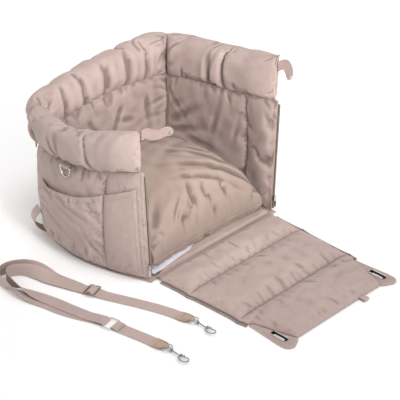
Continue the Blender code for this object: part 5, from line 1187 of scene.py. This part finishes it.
# D-rings of bent wire, each in a doubled webbing loop that comes out of the seam under the
# roll, and the webbing loops low at the back that a seat belt runs through.
ring_half, ring_drop, ring_wire, down = 0.017, 0.026, 0.0017, -upwards
for name, side, share in (("left", "left", 0.60), ("right", "right", 0.60),
                          ("back_left", "back", 0.025), ("back_right", "back", 0.975)):
    low, high = (np.array(corner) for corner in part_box(f"{name}_d_ring"))
    centre = np.array([*((low + high) / 2)[:2], high[2] - ring_wire])
    _, outward = wall_face(side, share, centre[2], 0.0)
    sideways = np.cross(upwards, outward)
    turn = np.linspace(0, math.pi, 25)[:, None]
    bow = centre - sideways * ring_half * np.cos(turn) + down * ring_drop * np.sin(turn)
    straight = centre + sideways * ring_half * np.linspace(0.9, -0.9, 9)[:, None]
    carried(f"{name}_d_ring_wire", np.concatenate([bow, straight]), outward,
            round_bar_section(ring_wire, 14), nickel, "nickel", f"{name}_d_ring",
            [f"{name}_d_ring"], closed=True)
    low, high = (np.array(corner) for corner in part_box(f"{name}_ring_loop"))
    bend = wrap + 0.0004
    turn = np.linspace(0, math.pi, 17)[:, None]
    round_bar = centre + down * bend * np.cos(turn) + outward * bend * np.sin(turn)
    root = centre - outward * max(0.5 * np.abs(outward[:2]) @ (high - low)[:2] - 0.002, 0.006)
    path = np.concatenate([[root + down * bend], round_bar, [root - down * bend]])
    tape(f"{name}_ring_loop_tape", path, sideways, "tub", f"{name}_ring_loop", 0.024, 0.0007)
belt_share, belt_foot, belt_tall, belt_stand = 0.90, 0.012, 0.058, 0.020
for side in ("left", "right"):
    level = np.linspace(0, 1, 60)
    path, outward = wall_face(side, belt_share, belt_foot + belt_tall * level,
                              0.0010 + belt_stand * np.sin(math.pi * level) ** 0.8)
    sideways = np.cross(upwards, outward[30])
    tape(f"{side}_belt_loop_tape", path, sideways, "tub", f"{side}_belt_loop", 0.034)
    for row, z in enumerate((0.0165, 0.0655)):
        spot, outward = wall_face(side, belt_share, z, 0.0048)
        stitches(f"{side}_belt_loop_stitches_{row}",
                 [spot - sideways * 0.014, spot + sideways * 0.014], outward, "webbing",
                 pitch=0.0030)

# Snap tabs: doubled cloth a little darker than the shell, with rounded tips and a press stud,
# sewn into the front ends of the rim rolls.
tab_shares = {"left": ((0, 0, 0), (.16, 0, -.01), (.34, 0, -.12), (.56, 0, -.19),
                       (.80, 0, -.21), (1, 0, -.32)),
              "right": ((0, 0, 0), (.20, 0, .01), (.40, .02, -.05), (.54, .04, -.25),
                        (.62, .05, -.50), (.66, .05, -.76))}
tab_cloth = cloth_finish("tab_cloth", ((128, 107, 100), (155, 134, 126), (178, 158, 150)),
                         0.0012, sheen=0.12)
tab_rise, tab_half, tab_taper, tab_thick = 0.082, 0.0120, 0.0045, 0.0013
for side, behind, tab_length in (("left", 0.006, 0.094), ("right", 0.0, 0.060)):
    share = (roll_start + behind) / top_length[side]
    plan, outward = wall_middle(side, share, 1.0)
    thick, tall = roll_size(side, share)
    spot = plan + outward * roll_lean(thick, tab_rise / tall)
    spot[2] = wall_top(side, share) + tab_rise
    spot = spot - (outward * (thick / 2 + 0.0008) if side == "left" else (0.0, 0.0023, 0.0))
    run = spot + np.array(tab_shares[side]) * tab_length * (1.0, -1.0, 1.0)
    place = np.linspace(0, 1, 70)
    run = through(run, place)
    ahead = unit(np.gradient(run, axis=0))
    widths = unit(np.cross(ahead, (0.0, -1.0, 0.0)))
    half = tab_half - tab_taper * np.clip(place * 3 - 2, 0, 1) ** 2
    end = ramp(1 - place, 0.0, 0.10)
    half = half * (0.25 + 0.75 * np.sqrt(end * (2 - end)))
    section = oval(2.0, 2.0, 28) * np.stack([half, np.full(70, tab_thick)], 1)[:, None]
    carried(f"{side}_snap_tab_cloth", run, widths, section, tab_cloth, "shell_cloth",
            f"{side}_snap_tab", [f"{side}_snap_tab"])
    normal = unit(np.cross(widths, ahead))
    normal = normal * np.sign(-normal[:, 1:2] + 1e-9)
    for row, way in enumerate((-1, 1)):
        line = run + widths * (way * (half - 0.0022))[:, None] + normal * tab_thick
        stitches(f"{side}_tab_stitches_{row}", line[4:-9], normal[4:-9], "shell_cloth",
                 f"{side}_snap_tab", 0.0030)

# Ears: flat doubled cloth beside the flap's last channel, stitched round the edge, each with
# a slot cut through for its metal eyelet. A small webbing loop between them opens the flap.
ear_reach, slot_at, slot_half = flap_length + 0.016, (0.163, flap_length - 0.030), 0.0066
slot_straight, ear_tip, ear_tip_x = 0.0196 - slot_half, 0.0184, 0.1656
for side, sign in (("left", -1.0), ("right", 1.0)):
    v = np.linspace(zip_end + 2 * gap, ear_reach, 60)
    inner = 0.1683 - 0.030 * ramp(v, zip_end, flap_length)
    outer = 0.176 + 0.008 * ramp(v, zip_end, ear_reach - 0.034)
    round_off = np.sqrt(1 - ramp(v, ear_reach - ear_tip, ear_reach) ** 2)
    outer = ear_tip_x + (outer - ear_tip_x) * round_off
    inner = inner + (ear_tip_x - inner) * ramp(v, flap_length, flap_length + 0.016) ** 1.5
    outline = np.concatenate([np.stack([outer, v], 1), np.stack([inner, v], 1)[-2::-1],
                              [(outer[0], v[0])]])
    run = lengths(outline)
    even = np.linspace(0.0, run[-1], 220)[:-1]
    way = np.stack([np.interp(even, run, outline[:, i]) for i in (0, 1)], 1) - slot_at
    reach = np.hypot(*way.T)
    way = way / reach[:, None]
    side_hit = slot_half / np.maximum(np.abs(way[:, 0]), 1e-6)
    end_hit = slot_straight * np.abs(way[:, 1]) + np.sqrt(
        np.maximum(slot_half ** 2 - (slot_straight * way[:, 0]) ** 2, 0.0))
    hole = np.where(side_hit * np.abs(way[:, 1]) <= slot_straight, side_hit, end_hit)
    far = hole[:, None] + (reach - hole)[:, None] * np.linspace(0, 1, 14)
    lift = 0.0012 + 0.0024 * ramp(reach[:, None] - far, 0.0, 0.006) ** 0.5
    far = np.concatenate([far, reach[:, None], hole[:, None]], 1)
    lift = np.pad(lift, ((0, 0), (0, 2)), constant_values=0.0001)
    flat_at = np.array(slot_at) + way[:, None] * far[..., None]
    points = np.stack([sign * flat_at[..., 0], hinge_y - flat_at[..., 1], floor_lift + lift],
                      -1).reshape(-1, 3)
    index = np.pad(np.arange(far.size).reshape(far.shape), ((0, 1), (0, 1)), mode="wrap")
    piece(f"{side}_flap_ear_cloth", points, grid_faces(index[::int(sign)]), points[:, :2], taupe,
          "shell_cloth", "front_flap", [f"{side}_flap_ear"])
    run = np.stack([sign * (outer - 0.003), hinge_y - v, np.full(60, floor_lift + 0.0031)], 1)
    stitches(f"{side}_ear_stitches", run[2:-9], upwards, body="front_flap")
turn = np.linspace(-0.5 * math.pi, 0.5 * math.pi, 15)
loop_x, loop_y, loop_bend = 0.072, hinge_y - flap_length - gap, webbing_thick + gap
loop_z, loop_reach = under_z + loop_bend, 0.016 - 2 * webbing_thick
path = np.array([(loop_x, loop_y, loop_z - loop_bend),
                 *[(loop_x, loop_y - loop_reach - loop_bend * math.cos(a),
                    loop_z + loop_bend * math.sin(a)) for a in turn],
                 (loop_x, loop_y, loop_z + loop_bend)])
tape("flap_pull_loop_tape", path, (1.0, 0, 0), "front_flap", "flap_pull_loop", 0.016, 0.0006)

# Thread and piping on the pads: rows beside the flap's seams, on top and underneath, and the
# cushion's piped seam.
u, seam_rise = np.linspace(-0.97, 0.97, 200), 0.0025
for row, seam in enumerate(seam_lines):
    for name, way in (("near", -1), ("far", 1)):
        v = np.full(200, seam + way * 0.0022)
        line = np.stack([u * flap_side(v), hinge_y - v,
                         floor_lift + 0.0034 + seam_rise * crown((u + 1) / 2, 6.0)], 1)
        stitches(f"flap_seam_stitches_{row}_{name}", line, upwards, body="front_flap")
        line[:, 2] = floor_lift + 0.0011
        stitches(f"flap_under_stitches_{row}_{name}", line, -upwards, body="front_flap")
turn = np.linspace(0, math.tau, 400)[:-1]
square = (np.abs(np.cos(turn)) ** 40 + np.abs(np.sin(turn)) ** 40) ** (-1 / 40)
x, y = cushion_plan(np.cos(turn) * square, np.sin(turn) * square)
carried("cushion_piping", np.stack([x, y, np.full(399, cushion_seam_z)], 1), upwards,
        round_bar_section(0.0016, 10), warm, "cushion_cloth", "cushion", closed=True)
